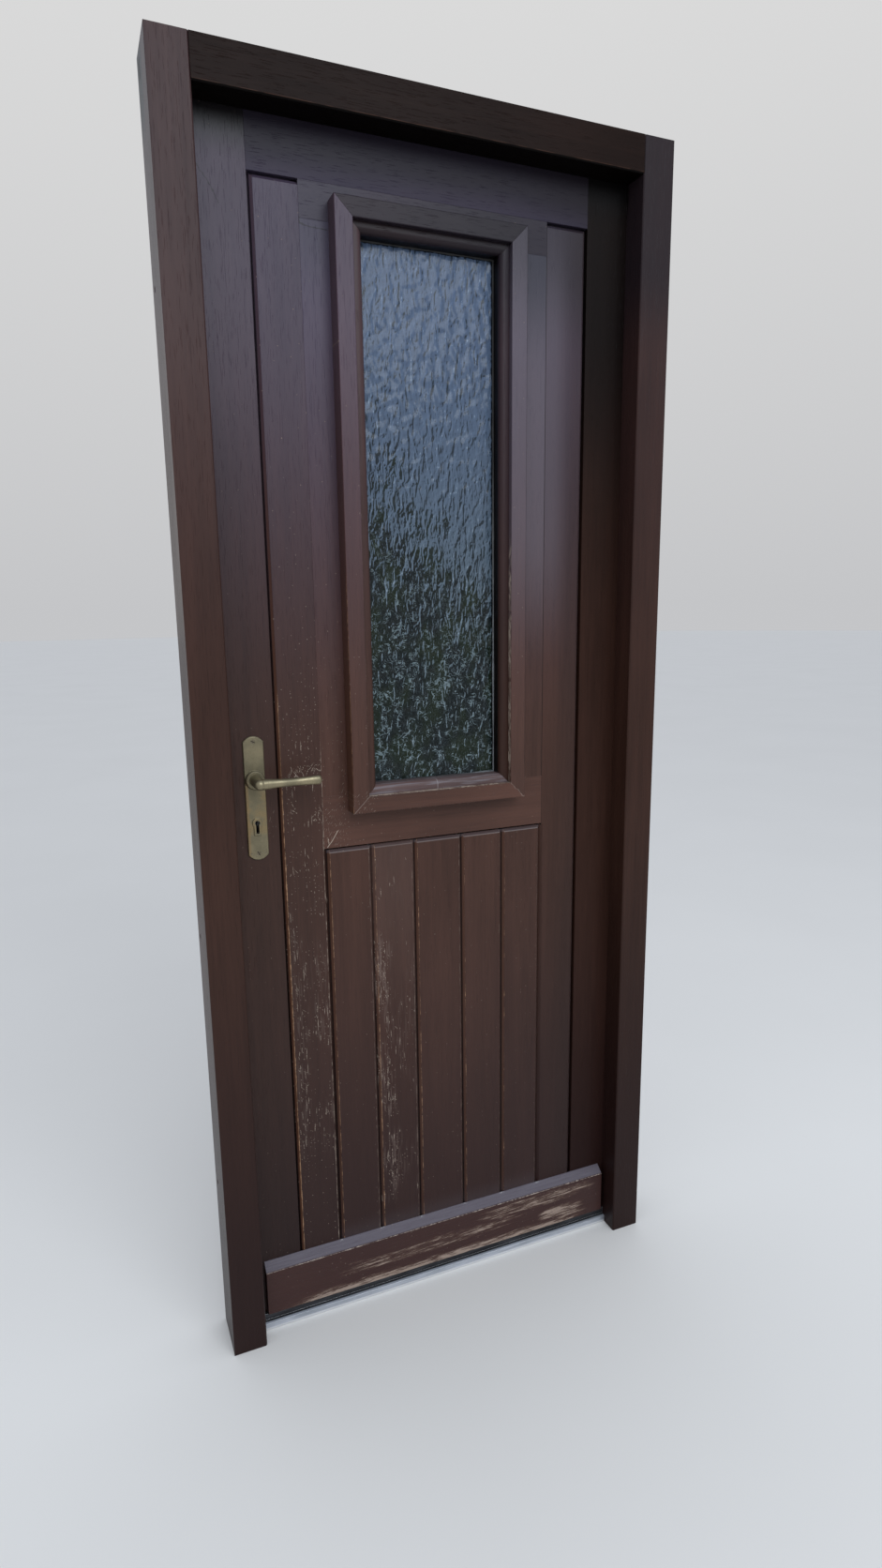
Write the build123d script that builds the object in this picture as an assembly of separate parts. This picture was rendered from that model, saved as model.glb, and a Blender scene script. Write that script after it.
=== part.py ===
from build123d import *
import os

# A boarded and glazed front door leaf in its rebated timber frame, with lift-off hinges,
# a mortise lock, lever handles on long plates, a weatherboard and a metal threshold.
# Millimetres. X runs across the door from the lock side to the hinge side, Y runs from
# outside to inside, Z is up. The origin is at the sill, in the middle of the clear width,
# in the plane of the leaf's outside face.

# Driving dimensions of the doorway and the frame
CLEAR_WIDTH = 732.0  # between the frame's stops
CLEAR_HEIGHT = 1995.0  # sill to the underside of the head
FRAME_FACE = 58.0  # width of a frame member, seen from outside
STOP_DEPTH = 48.0  # depth of the stop in front of the leaf
LEAF_THICKNESS = 45.0
REBATE = 16.0  # how far the stop laps over the leaf
LEAF_GAP = 3.0  # running gap between leaf and frame
ARRIS = 2.0  # small chamfer on exposed corners

# Driving dimensions of the leaf
LEAF_BOTTOM = 19.0
STILE_WIDTH = 91.0
TOP_RAIL_WIDTH = 90.0
BOTTOM_RAIL_WIDTH = 153.0
MID_RAIL_BOTTOM = 891.5
BOARD_THICKNESS = 27.0
BOARD_CHAMFER = 5.5
BOARD_SHARES = (80.1, 80.7, 80.5, 91.9, 82.4, 80.3, 80.1)  # how the boards share the field
OPEN_JOINT = 3.0  # board edge to stile or rail
TONGUE_LENGTH = 8.0
TONGUE_FRONT = 10.0
TONGUE_BACK = 17.0

# Driving dimensions of the window in the leaf
SASH_LAP_LEFT = 4.5  # how far the window frame passes the first joint of the boards
SASH_LAP_RIGHT = 2.1  # and the last one
SASH_BORDER_LEFT = 45.4  # window frame that shows beside the moulding
SASH_BORDER_RIGHT = 53.0
SASH_BORDER_BOTTOM = 62.5
SASH_BORDER_TOP = 24.0
MOULDING_FLAT = 28.5
MOULDING_PROUD = 33.0
BEAD_WIDTH = 16.5
BEAD_PROUD = 23.0
BEAD_NOSE = 9.0
GLASS_FRONT = 4.0
GLASS_THICKNESS = 4.0
GLASS_EDGE_GAP = 3.0
MOULDING_ARRIS = 1.5
INNER_BEAD_WIDTH = 14.5
INNER_BEAD_BACK = 25.0
INNER_BEAD_BEVEL = 7.0

# Driving dimensions of the weatherboard and the threshold
WEATHER_GAP = 11.0  # each end to the frame's stop
WEATHER_BOTTOM = 32.5
WEATHER_ARRIS = 118.0
WEATHER_TOP = 131.5
WEATHER_PROUD = 17.0
SILL_FRONT = 15.0  # threshold nose ahead of the leaf's face
SILL_NOSE = 13.0
SILL_RIDGE = 16.0
SILL_PLATE = 13.0
SILL_WALL = 2.0
UPSTAND_FRONT = 8.0
UPSTAND_BACK = 4.0
UPSTAND_TOP = 28.0
SEAL_LIP = 0.3  # soft lip kept just clear of the leaf

# Driving dimensions of the lock and the handles
BACKSET = 55.0
HANDLE_HEIGHT = 1022.0
LOCK_CENTRES = 72.0  # handle axis down to key axis
LATCH_RISE = 26.0  # handle axis up to the middle of the latch
PLATE_WIDTH = 34.0
PLATE_ABOVE = 72.0  # handle axis to the top of the plate
PLATE_BELOW = 63.0  # key axis to the bottom of the plate
PLATE_THICKNESS = 3.0
COLLAR_RADIUS = 16.0
COLLAR_PROUD = 9.0
NECK_RADIUS = 9.5
LEVER_REACH = 46.0  # plate side of the leaf to the lever's middle
SPINDLE_SIZE = 8.0
RUNNING_FIT = 0.05  # radial clearance of a turning fit
SLIDING_FIT = 0.25  # clearance of a bolt in its slot
CASE_ABOVE = 32.0  # middle of the latch to the top of the case
CASE_BELOW = 30.0  # key axis to the bottom of the case
CASE_DEPTH = 76.0
CASE_THICKNESS = 15.0
CASE_WALL = 1.2
FOREND_THICKNESS = 3.0
FOREND_WIDTH = 22.0
FOREND_ABOVE = 30.0  # past the top of the case
FOREND_BELOW = 40.0  # past its bottom
LATCH_SIZE = 24.0
LATCH_PROUD = 12.0
BOLT_RISE = 8.0  # key axis to the underside of the dead bolt
BOLT_SIZE = 26.0
BOLT_THICKNESS = 10.0
FOLLOWER_ARM = 16.0

# Driving dimensions of the hinges
HINGE_BELOW = 231.0  # leaf's bottom to the middle of the lowest hinge
HINGE_ABOVE = 228.0  # middle of the highest hinge to the leaf's top
HINGE_HALF = 60.0  # half the height of a hinge
HINGE_PLATE = 2.5
HINGE_PLATE_FRONT = 12.0
KNUCKLE_RADIUS = 7.5
KNUCKLE_PROUD = 9.0
PIN_RADIUS = 4.0
PIN_COLLAR = 1.0  # half the thickness of the collar between the knuckles

# Places worked out from the driving dimensions
STOP_X = CLEAR_WIDTH / 2
REBATE_X = STOP_X + REBATE
OUTER_X = STOP_X + FRAME_FACE
LEAF_X = REBATE_X - LEAF_GAP
STILE_X = LEAF_X - STILE_WIDTH
HEAD_TOP = CLEAR_HEIGHT + FRAME_FACE
HEAD_REBATE = CLEAR_HEIGHT + REBATE
LEAF_TOP = HEAD_REBATE - LEAF_GAP
TOP_RAIL_BOTTOM = LEAF_TOP - TOP_RAIL_WIDTH
BOTTOM_RAIL_TOP = LEAF_BOTTOM + BOTTOM_RAIL_WIDTH
FIELD_TOP = TOP_RAIL_BOTTOM - OPEN_JOINT
LOWER_TOP = MID_RAIL_BOTTOM - OPEN_JOINT
BOARD_SCALE = 2 * STILE_X / sum(BOARD_SHARES)
BOARD_LINES = [
    -STILE_X + BOARD_SCALE * sum(BOARD_SHARES[:count]) for count in range(1, len(BOARD_SHARES))
]
SASH_LEFT = BOARD_LINES[0] - SASH_LAP_LEFT
SASH_RIGHT = BOARD_LINES[-1] + SASH_LAP_RIGHT
MOULDING_LEFT = SASH_LEFT + SASH_BORDER_LEFT
MOULDING_RIGHT = SASH_RIGHT - SASH_BORDER_RIGHT
MOULDING_BOTTOM = MID_RAIL_BOTTOM + SASH_BORDER_BOTTOM
MOULDING_TOP = TOP_RAIL_BOTTOM - SASH_BORDER_TOP
OPENING_LEFT = MOULDING_LEFT + MOULDING_FLAT
OPENING_RIGHT = MOULDING_RIGHT - MOULDING_FLAT
OPENING_BOTTOM = MOULDING_BOTTOM + MOULDING_FLAT
OPENING_TOP = MOULDING_TOP - MOULDING_FLAT
GLASS_BACK = GLASS_FRONT + GLASS_THICKNESS
WEATHER_HALF = STOP_X - WEATHER_GAP
LOCK_X = -LEAF_X + BACKSET
LEAF_MIDDLE = LEAF_THICKNESS / 2
KEY_HEIGHT = HANDLE_HEIGHT - LOCK_CENTRES
LATCH_HEIGHT = HANDLE_HEIGHT + LATCH_RISE
BOLT_BOTTOM = KEY_HEIGHT + BOLT_RISE
PLATE_TOP = HANDLE_HEIGHT + PLATE_ABOVE
PLATE_BOTTOM = KEY_HEIGHT - PLATE_BELOW
CASE_FRONT = -LEAF_X + FOREND_THICKNESS
CASE_BACK = CASE_FRONT + CASE_DEPTH
CASE_Y0 = LEAF_MIDDLE - CASE_THICKNESS / 2
CASE_Y1 = LEAF_MIDDLE + CASE_THICKNESS / 2
CASE_TOP = LATCH_HEIGHT + CASE_ABOVE
CASE_BOTTOM = KEY_HEIGHT - CASE_BELOW
FOREND_TOP = CASE_TOP + FOREND_ABOVE
FOREND_BOTTOM = CASE_BOTTOM - FOREND_BELOW
HINGE_X = LEAF_X + LEAF_GAP / 2
HINGE_Y = LEAF_THICKNESS + KNUCKLE_PROUD
LOWEST_HINGE = LEAF_BOTTOM + HINGE_BELOW
HIGHEST_HINGE = LEAF_TOP - HINGE_ABOVE
HINGE_HEIGHTS = (LOWEST_HINGE, (LOWEST_HINGE + HIGHEST_HINGE) / 2, HIGHEST_HINGE)


def block(x0, x1, y0, y1, z0, z1):
    """A box between two corners."""
    middle = Pos((x0 + x1) / 2, (y0 + y1) / 2, (z0 + z1) / 2)
    return middle * Box(x1 - x0, y1 - y0, z1 - z0)


def along_x(section, x0, x1):
    """A straight bar along X from a closed outline of (y, z) points."""
    face = make_face(Polyline(*[(x0, y, z) for y, z in section], close=True))
    return extrude(face, amount=x1 - x0, dir=(1, 0, 0))


def along_y(section, y0, y1):
    """A straight bar along Y from a closed outline of (x, z) points."""
    face = make_face(Polyline(*[(x, y0, z) for x, z in section], close=True))
    return extrude(face, amount=y1 - y0, dir=(0, 1, 0))


def along_z(section, z0, z1):
    """A straight bar along Z from a closed outline of (x, y) points."""
    face = make_face(Polyline(*[(x, y, z0) for x, y in section], close=True))
    return extrude(face, amount=z1 - z0, dir=(0, 0, 1))


def rod_x(y, z, radius, x0, x1):
    """A round rod along X."""
    return Pos((x0 + x1) / 2, y, z) * Rot(0, 90, 0) * Cylinder(radius, x1 - x0)


def rod_y(x, z, radius, y0, y1):
    """A round rod along Y."""
    return Pos(x, (y0 + y1) / 2, z) * Rot(90, 0, 0) * Cylinder(radius, y1 - y0)


def rod_z(x, y, radius, z0, z1):
    """A round rod along Z."""
    return Pos(x, y, (z0 + z1) / 2) * Cylinder(radius, z1 - z0)


def mirror_inside(shape):
    """The same shape on the other face of the leaf."""
    return mirror(shape, about=Plane((0, LEAF_MIDDLE, 0), z_dir=(0, 1, 0)))


# Fasteners
SCREW_HEAD = 3.8
SCREW_SHANK = 2.0
SCREW_LENGTH = 22.0
NAIL_HEAD = 1.7
NAIL_SHANK = 0.9
NAIL_LENGTH = 14.0


def countersunk(x, y, z, direction, head=SCREW_HEAD, shank=SCREW_SHANK, length=SCREW_LENGTH):
    """A countersunk fastener whose flat head is at the point and whose tip lies along the direction."""
    cone = head - shank
    half = Polyline((0, 0), (head, 0), (shank, cone), (shank, length - shank), (0, length), close=True)
    body = revolve(make_face(Plane.XZ * half), axis=Axis.Z)
    return Plane((x, y, z), z_dir=direction) * body


# Frame
FRAME_FIXING_RADIUS = 4.5
FRAME_FIXING_FOOT = 300.0  # sill to the lowest fixing
FRAME_FIXING_MIDDLE = 262.0  # middle fixing below the handle's axis
FRAME_FIXING_HEAD = 303.0  # highest fixing below the frame's top
FRAME_FIXING_HEIGHTS = (
    FRAME_FIXING_FOOT,
    HANDLE_HEIGHT - FRAME_FIXING_MIDDLE,
    HEAD_TOP - FRAME_FIXING_HEAD,
)
FRAME_FIXING_Y = LEAF_MIDDLE
TENON_FRONT = 15.0
TENON_BACK = 30.0
HEAD_TENON = (HEAD_REBATE + 6.0, HEAD_TOP - 12.0)


def jamb(side):
    """An upright of the frame: a stop in front and a rebate behind, one L-shaped section."""
    section = [
        (STOP_X + ARRIS, -STOP_DEPTH),
        (OUTER_X, -STOP_DEPTH),
        (OUTER_X, LEAF_THICKNESS),
        (REBATE_X, LEAF_THICKNESS),
        (REBATE_X, 0),
        (STOP_X, 0),
        (STOP_X, -STOP_DEPTH + ARRIS),
    ]
    bar = along_z([(side * x, y) for x, y in section], 0, HEAD_TOP)
    for z in FRAME_FIXING_HEIGHTS:
        low, high = sorted((side * REBATE_X, side * OUTER_X))
        bar -= rod_x(FRAME_FIXING_Y, z, FRAME_FIXING_RADIUS, low - 1, high + 1)
    return bar - head_tenon(side)


def head_tenon(side):
    """The tongue of the head that goes through an upright."""
    low, high = sorted((side * REBATE_X, side * OUTER_X))
    return block(low, high, TENON_FRONT, TENON_BACK, *HEAD_TENON)


def head():
    """The top member of the frame, tenoned between the uprights."""
    stop = along_x(
        [
            (-STOP_DEPTH, CLEAR_HEIGHT + ARRIS),
            (-STOP_DEPTH + ARRIS, CLEAR_HEIGHT),
            (0, CLEAR_HEIGHT),
            (0, HEAD_TOP),
            (-STOP_DEPTH, HEAD_TOP),
        ],
        -STOP_X,
        STOP_X,
    )
    back = block(-REBATE_X, REBATE_X, 0, LEAF_THICKNESS, HEAD_REBATE, HEAD_TOP)
    return stop + back + head_tenon(-1) + head_tenon(1)


# Threshold
SILL_HOLE_INSET = 116.0  # from the frame's stop
SILL_HOLE_X = STOP_X - SILL_HOLE_INSET
SILL_HOLE_Y = 20.0
SILL_HOLE_RADIUS = 2.75
SEAL_BOTTOM = 20.0


def threshold():
    """A hollow metal section with a sloped nose, an upstand and two closed cells."""
    section = [
        (-SILL_FRONT, 0),
        (LEAF_THICKNESS, 0),
        (LEAF_THICKNESS, SILL_PLATE),
        (-UPSTAND_BACK, SILL_PLATE),
        (-UPSTAND_BACK, UPSTAND_TOP),
        (-UPSTAND_FRONT, UPSTAND_TOP),
        (-UPSTAND_FRONT, SILL_RIDGE),
        (-SILL_FRONT, SILL_NOSE),
    ]
    bar = along_x(section, -REBATE_X, REBATE_X)
    for side in (-1, 1):
        low, high = sorted((side * STOP_X, side * REBATE_X))
        bar -= block(low, high, -SILL_FRONT, 0, 0, UPSTAND_TOP)
    cell_top = SILL_PLATE - SILL_WALL
    front_cell = (-SILL_FRONT + SILL_WALL, -UPSTAND_BACK - SILL_WALL)
    back_cell = (SILL_HOLE_Y + 6, LEAF_THICKNESS - SILL_WALL)
    for y0, y1 in (front_cell, back_cell):
        bar -= block(-REBATE_X, REBATE_X, y0, y1, SILL_WALL, cell_top)
    for side in (-1, 1):
        hole = rod_z(side * SILL_HOLE_X, SILL_HOLE_Y, SILL_HOLE_RADIUS, -1, SILL_PLATE + 1)
        bar -= hole
    return bar


def threshold_seal():
    """A soft strip on the back of the upstand, with a bulb towards the leaf."""
    section = [
        (-UPSTAND_BACK, SEAL_BOTTOM),
        (-2, SEAL_BOTTOM),
        (-SEAL_LIP, SEAL_BOTTOM + 2.5),
        (-SEAL_LIP, UPSTAND_TOP - 2),
        (-2, UPSTAND_TOP),
        (-UPSTAND_BACK, UPSTAND_TOP),
    ]
    return along_x(section, -STOP_X, STOP_X)


# Strike plate in the lock jamb
STRIKE_THICKNESS = 2.0
STRIKE_FRONT = 8.0
STRIKE_BELOW = 23.0  # past the dead bolt
STRIKE_ABOVE = 37.0  # past the middle of the latch
STRIKE_BOTTOM = BOLT_BOTTOM - STRIKE_BELOW
STRIKE_TOP = LATCH_HEIGHT + STRIKE_ABOVE
STRIKE_POCKET = 14.0
STRIKE_CLEAR = 2.0
SCREW_MARGIN = 9.0  # plate's end to the middle of its screw
STRIKE_SCREW_HEIGHTS = (STRIKE_BOTTOM + SCREW_MARGIN, STRIKE_TOP - SCREW_MARGIN)
LATCH_THICKNESS = 12.0
LATCH_Y = (LEAF_MIDDLE - LATCH_THICKNESS / 2, LEAF_MIDDLE + LATCH_THICKNESS / 2)
BOLT_BACK = 1.1  # dead bolt's middle in front of the leaf's middle
BOLT_Y = (
    LEAF_MIDDLE - BOLT_BACK - BOLT_THICKNESS / 2,
    LEAF_MIDDLE - BOLT_BACK + BOLT_THICKNESS / 2,
)


def strike_openings(x0, x1):
    """The latch and bolt openings, as blocks between two planes."""
    latch = block(
        x0,
        x1,
        LATCH_Y[0] - STRIKE_CLEAR,
        LATCH_Y[1] + STRIKE_CLEAR,
        LATCH_HEIGHT - LATCH_SIZE / 2 - STRIKE_CLEAR,
        LATCH_HEIGHT + LATCH_SIZE / 2 + STRIKE_CLEAR,
    )
    bolt = block(
        x0,
        x1,
        BOLT_Y[0] - STRIKE_CLEAR,
        BOLT_Y[1] + STRIKE_CLEAR,
        BOLT_BOTTOM - STRIKE_CLEAR,
        BOLT_BOTTOM + BOLT_SIZE + STRIKE_CLEAR,
    )
    return latch + bolt


def strike_blank():
    """The strike plate before its openings are cut, let into the jamb."""
    return block(
        -REBATE_X - STRIKE_THICKNESS, -REBATE_X, STRIKE_FRONT, LEAF_THICKNESS, STRIKE_BOTTOM, STRIKE_TOP
    )


def strike_screws():
    """Two countersunk screws through the strike plate into the jamb."""
    return [countersunk(-REBATE_X, LEAF_MIDDLE, z, (-1, 0, 0)) for z in STRIKE_SCREW_HEIGHTS]


# Hinges
HINGE_SCREW_STEPS = (-42.0, 0.0, 42.0)
HINGE_SCREW_Y = 26.0
KNUCKLE_NECK = 7.0
PIN_TOP = 48.0
PIN_FOOT = 56.0
BORE_TOP = 50.0


def hinge_plate(x0, middle):
    """The flat flap of a hinge half."""
    return block(
        x0, x0 + HINGE_PLATE, HINGE_PLATE_FRONT, LEAF_THICKNESS, middle - HINGE_HALF, middle + HINGE_HALF
    )


def hinge_neck(x0, z0, z1):
    """The part of a flap that reaches back into its knuckle."""
    return block(x0, x0 + HINGE_PLATE, LEAF_THICKNESS, LEAF_THICKNESS + KNUCKLE_NECK, z0, z1)


def hinge_jamb_half(middle):
    """The frame's flap with the lower knuckle, which holds the pin."""
    z0 = middle - HINGE_HALF
    z1 = middle - PIN_COLLAR
    half = hinge_plate(REBATE_X, middle) + hinge_neck(REBATE_X, z0, z1)
    half += rod_z(HINGE_X, HINGE_Y, KNUCKLE_RADIUS, z0, z1)
    return half - rod_z(HINGE_X, HINGE_Y, PIN_RADIUS, middle - PIN_FOOT, z1)


def hinge_leaf_half(middle):
    """The leaf's flap with the upper knuckle, which lifts off the pin."""
    x0 = LEAF_X - HINGE_PLATE
    z0 = middle + PIN_COLLAR
    z1 = middle + HINGE_HALF
    half = hinge_plate(x0, middle) + hinge_neck(x0, z0, z1)
    half += rod_z(HINGE_X, HINGE_Y, KNUCKLE_RADIUS, z0, z1)
    return half - rod_z(HINGE_X, HINGE_Y, PIN_RADIUS + RUNNING_FIT, z0, middle + BORE_TOP)


def hinge_pin(middle):
    """A turned pin with the collar on which the leaf's knuckle turns."""
    pin = rod_z(HINGE_X, HINGE_Y, PIN_RADIUS, middle - PIN_FOOT, middle + PIN_TOP)
    return pin + rod_z(HINGE_X, HINGE_Y, KNUCKLE_RADIUS, middle - PIN_COLLAR, middle + PIN_COLLAR)


def hinge_screws(face_x, direction):
    """Three countersunk screws through each flap on one side."""
    return [
        countersunk(face_x, HINGE_SCREW_Y, middle + step, direction)
        for middle in HINGE_HEIGHTS
        for step in HINGE_SCREW_STEPS
    ]


# Leaf frame
RAIL_TENON_INSET = 24.0  # tenon's end to the stile's outer edge
RAIL_TENON_END = LEAF_X - RAIL_TENON_INSET
TOP_TENON_BELOW = 20.0
TOP_TENON_ABOVE = 18.0
TOP_TENON = (TOP_RAIL_BOTTOM + TOP_TENON_BELOW, LEAF_TOP - TOP_TENON_ABOVE)
BOTTOM_TENON_BELOW = 26.0
BOTTOM_TENON_ABOVE = 27.0
BOTTOM_TENON = (LEAF_BOTTOM + BOTTOM_TENON_BELOW, BOTTOM_RAIL_TOP - BOTTOM_TENON_ABOVE)
BOTTOM_TENON_Y = (BOARD_THICKNESS + 3.0, LEAF_THICKNESS - 5.0)


def tongue_slot_x(edge, side, z0, z1):
    """The groove in an upright edge that takes a tongue from one side."""
    low, high = sorted((edge, edge + side * TONGUE_LENGTH))
    return block(low, high, TONGUE_FRONT, TONGUE_BACK, z0, z1)


def rail_tenons(side):
    """The tenons of the top and bottom rails inside one stile."""
    low, high = sorted((side * STILE_X, side * RAIL_TENON_END))
    top = block(low, high, TENON_FRONT, TENON_BACK, *TOP_TENON)
    return top + block(low, high, *BOTTOM_TENON_Y, *BOTTOM_TENON)


def stile(side):
    """An upright of the leaf, grooved for the board beside it."""
    low, high = sorted((side * STILE_X, side * LEAF_X))
    bar = block(low, high, 0, LEAF_THICKNESS, LEAF_BOTTOM, LEAF_TOP)
    bar -= tongue_slot_x(side * STILE_X, side, LEAF_BOTTOM, FIELD_TOP)
    return bar - rail_tenons(side)


def top_rail():
    """The top member of the leaf, grooved below for the two long boards."""
    bar = block(-STILE_X, STILE_X, 0, LEAF_THICKNESS, TOP_RAIL_BOTTOM, LEAF_TOP)
    for x0, x1 in ((-STILE_X, SASH_LEFT), (SASH_RIGHT, STILE_X)):
        bar -= block(x0, x1, TONGUE_FRONT, TONGUE_BACK, TOP_RAIL_BOTTOM, TOP_RAIL_BOTTOM + TONGUE_LENGTH)
    for side in (-1, 1):
        low, high = sorted((side * STILE_X, side * RAIL_TENON_END))
        bar += block(low, high, TENON_FRONT, TENON_BACK, *TOP_TENON)
    return bar


def bottom_rail():
    """The bottom member of the leaf, which lies behind the boards."""
    bar = block(-STILE_X, STILE_X, BOARD_THICKNESS, LEAF_THICKNESS, LEAF_BOTTOM, BOTTOM_RAIL_TOP)
    for side in (-1, 1):
        low, high = sorted((side * STILE_X, side * RAIL_TENON_END))
        bar += block(low, high, *BOTTOM_TENON_Y, *BOTTOM_TENON)
    return bar


# Boards
def board_body(x0, x1, top, chamfer_left=BOARD_CHAMFER, chamfer_right=BOARD_CHAMFER):
    """A board with its long outside edges chamfered and its top end chamfered."""
    left = [(x0, chamfer_left), (x0 + chamfer_left, 0)] if chamfer_left else [(x0, 0)]
    right = [(x1 - chamfer_right, 0), (x1, chamfer_right)] if chamfer_right else [(x1, 0)]
    section = left + right + [(x1, BOARD_THICKNESS), (x0, BOARD_THICKNESS)]
    body = along_z(section, LEAF_BOTTOM, top)
    end = [(0, top), (0, top - BOARD_CHAMFER), (BOARD_CHAMFER, top)]
    return body - along_x(end, x0, x1)


def top_tongue(x0, x1, top):
    """The tongue on a board's top end, across the open joint and into the rail."""
    return block(x0, x1, TONGUE_FRONT, TONGUE_BACK, top, top + OPEN_JOINT + TONGUE_LENGTH)


def short_board(x0, x1):
    """A lower board: a tongue on its left edge, a groove in its right edge."""
    body = board_body(x0, x1, LOWER_TOP)
    body += block(x0 - TONGUE_LENGTH, x0, TONGUE_FRONT, TONGUE_BACK, LEAF_BOTTOM, LOWER_TOP)
    body -= tongue_slot_x(x1, -1, LEAF_BOTTOM, LOWER_TOP)
    return body + top_tongue(x0, x1 - TONGUE_LENGTH, LOWER_TOP)


def board_lock_side():
    """The full-height board beside the lock stile, notched back beside the window frame."""
    x0 = -STILE_X + OPEN_JOINT
    lower = board_body(x0, BOARD_LINES[0], FIELD_TOP)
    lower = lower & block(x0, BOARD_LINES[0], 0, BOARD_THICKNESS, LEAF_BOTTOM, LOWER_TOP)
    ledge = block(SASH_LEFT, BOARD_LINES[0], BOARD_CHAMFER, BOARD_THICKNESS, LOWER_TOP, MID_RAIL_BOTTOM)
    upper = board_body(x0, SASH_LEFT, FIELD_TOP, chamfer_right=0)
    upper = upper & block(x0, SASH_LEFT, 0, BOARD_THICKNESS, LOWER_TOP, FIELD_TOP)
    body = lower + ledge + upper
    body -= tongue_slot_x(BOARD_LINES[0], -1, LEAF_BOTTOM, MID_RAIL_BOTTOM)
    body -= tongue_slot_x(SASH_LEFT, -1, MID_RAIL_BOTTOM, FIELD_TOP)
    slip = -STILE_X - TONGUE_LENGTH
    body += block(slip, x0, TONGUE_FRONT, TONGUE_BACK, LEAF_BOTTOM, FIELD_TOP)
    return body + top_tongue(x0, SASH_LEFT - TONGUE_LENGTH, FIELD_TOP)


def board_hinge_side():
    """The full-height board beside the hinge stile, with a tongue on both edges."""
    x1 = STILE_X - OPEN_JOINT
    last = BOARD_LINES[-1]
    lower = board_body(last, x1, FIELD_TOP)
    lower = lower & block(last, x1, 0, BOARD_THICKNESS, LEAF_BOTTOM, LOWER_TOP)
    ledge = block(last, SASH_RIGHT, BOARD_CHAMFER, BOARD_THICKNESS, LOWER_TOP, MID_RAIL_BOTTOM)
    upper = board_body(SASH_RIGHT, x1, FIELD_TOP, chamfer_left=0)
    upper = upper & block(SASH_RIGHT, x1, 0, BOARD_THICKNESS, LOWER_TOP, FIELD_TOP)
    body = lower + ledge + upper
    body += block(last - TONGUE_LENGTH, last, TONGUE_FRONT, TONGUE_BACK, LEAF_BOTTOM, LOWER_TOP)
    body += block(
        SASH_RIGHT - TONGUE_LENGTH, SASH_RIGHT, TONGUE_FRONT, TONGUE_BACK, MID_RAIL_BOTTOM, FIELD_TOP
    )
    body += block(x1, STILE_X + TONGUE_LENGTH, TONGUE_FRONT, TONGUE_BACK, LEAF_BOTTOM, FIELD_TOP)
    return body + top_tongue(SASH_RIGHT, x1, FIELD_TOP)


# Window frame in the leaf
SASH_TENON_Y = (18.0, 28.0)
SASH_TENON_LENGTH = 34.0
SASH_TENON_MARGIN = 14.0


def sash_tenons(x0, x1):
    """The two tenons of a window stile, into the rail above and the rail below."""
    low = x0 + SASH_TENON_MARGIN
    high = x1 - SASH_TENON_MARGIN
    top = block(low, high, *SASH_TENON_Y, OPENING_TOP, OPENING_TOP + SASH_TENON_LENGTH)
    return top + block(low, high, *SASH_TENON_Y, OPENING_BOTTOM - SASH_TENON_LENGTH, OPENING_BOTTOM)


def sash_tongue(z0, z1):
    """The tongue on the left edge of the window frame."""
    return block(SASH_LEFT - TONGUE_LENGTH, SASH_LEFT, TONGUE_FRONT, TONGUE_BACK, z0, z1)


def sash_groove(z0, z1):
    """The groove in the right edge of the window frame."""
    return tongue_slot_x(SASH_RIGHT, -1, z0, z1)


def sash_lock_stile():
    """The window frame's upright on the lock side."""
    bar = block(SASH_LEFT, OPENING_LEFT, 0, LEAF_THICKNESS, OPENING_BOTTOM, OPENING_TOP)
    return bar + sash_tongue(OPENING_BOTTOM, OPENING_TOP) + sash_tenons(SASH_LEFT, OPENING_LEFT)


def sash_hinge_stile():
    """The window frame's upright on the hinge side."""
    bar = block(OPENING_RIGHT, SASH_RIGHT, 0, LEAF_THICKNESS, OPENING_BOTTOM, OPENING_TOP)
    return bar - sash_groove(OPENING_BOTTOM, OPENING_TOP) + sash_tenons(OPENING_RIGHT, SASH_RIGHT)


def sash_rail(z0, z1, edge_top):
    """A window rail over the full width, with mortises for the uprights."""
    bar = block(SASH_LEFT, SASH_RIGHT, 0, LEAF_THICKNESS, z0, z1)
    bar = bar + sash_tongue(z0, edge_top) - sash_groove(z0, edge_top)
    bar -= sash_tenons(SASH_LEFT, OPENING_LEFT)
    return bar - sash_tenons(OPENING_RIGHT, SASH_RIGHT)


def mid_rail():
    """The window's lower rail, grooved below for the short boards."""
    bar = sash_rail(MID_RAIL_BOTTOM, OPENING_BOTTOM, OPENING_BOTTOM)
    first = BOARD_LINES[0]
    last = BOARD_LINES[-1]
    top = MID_RAIL_BOTTOM + TONGUE_LENGTH
    return bar - block(first, last - TONGUE_LENGTH, TONGUE_FRONT, TONGUE_BACK, MID_RAIL_BOTTOM, top)


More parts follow.
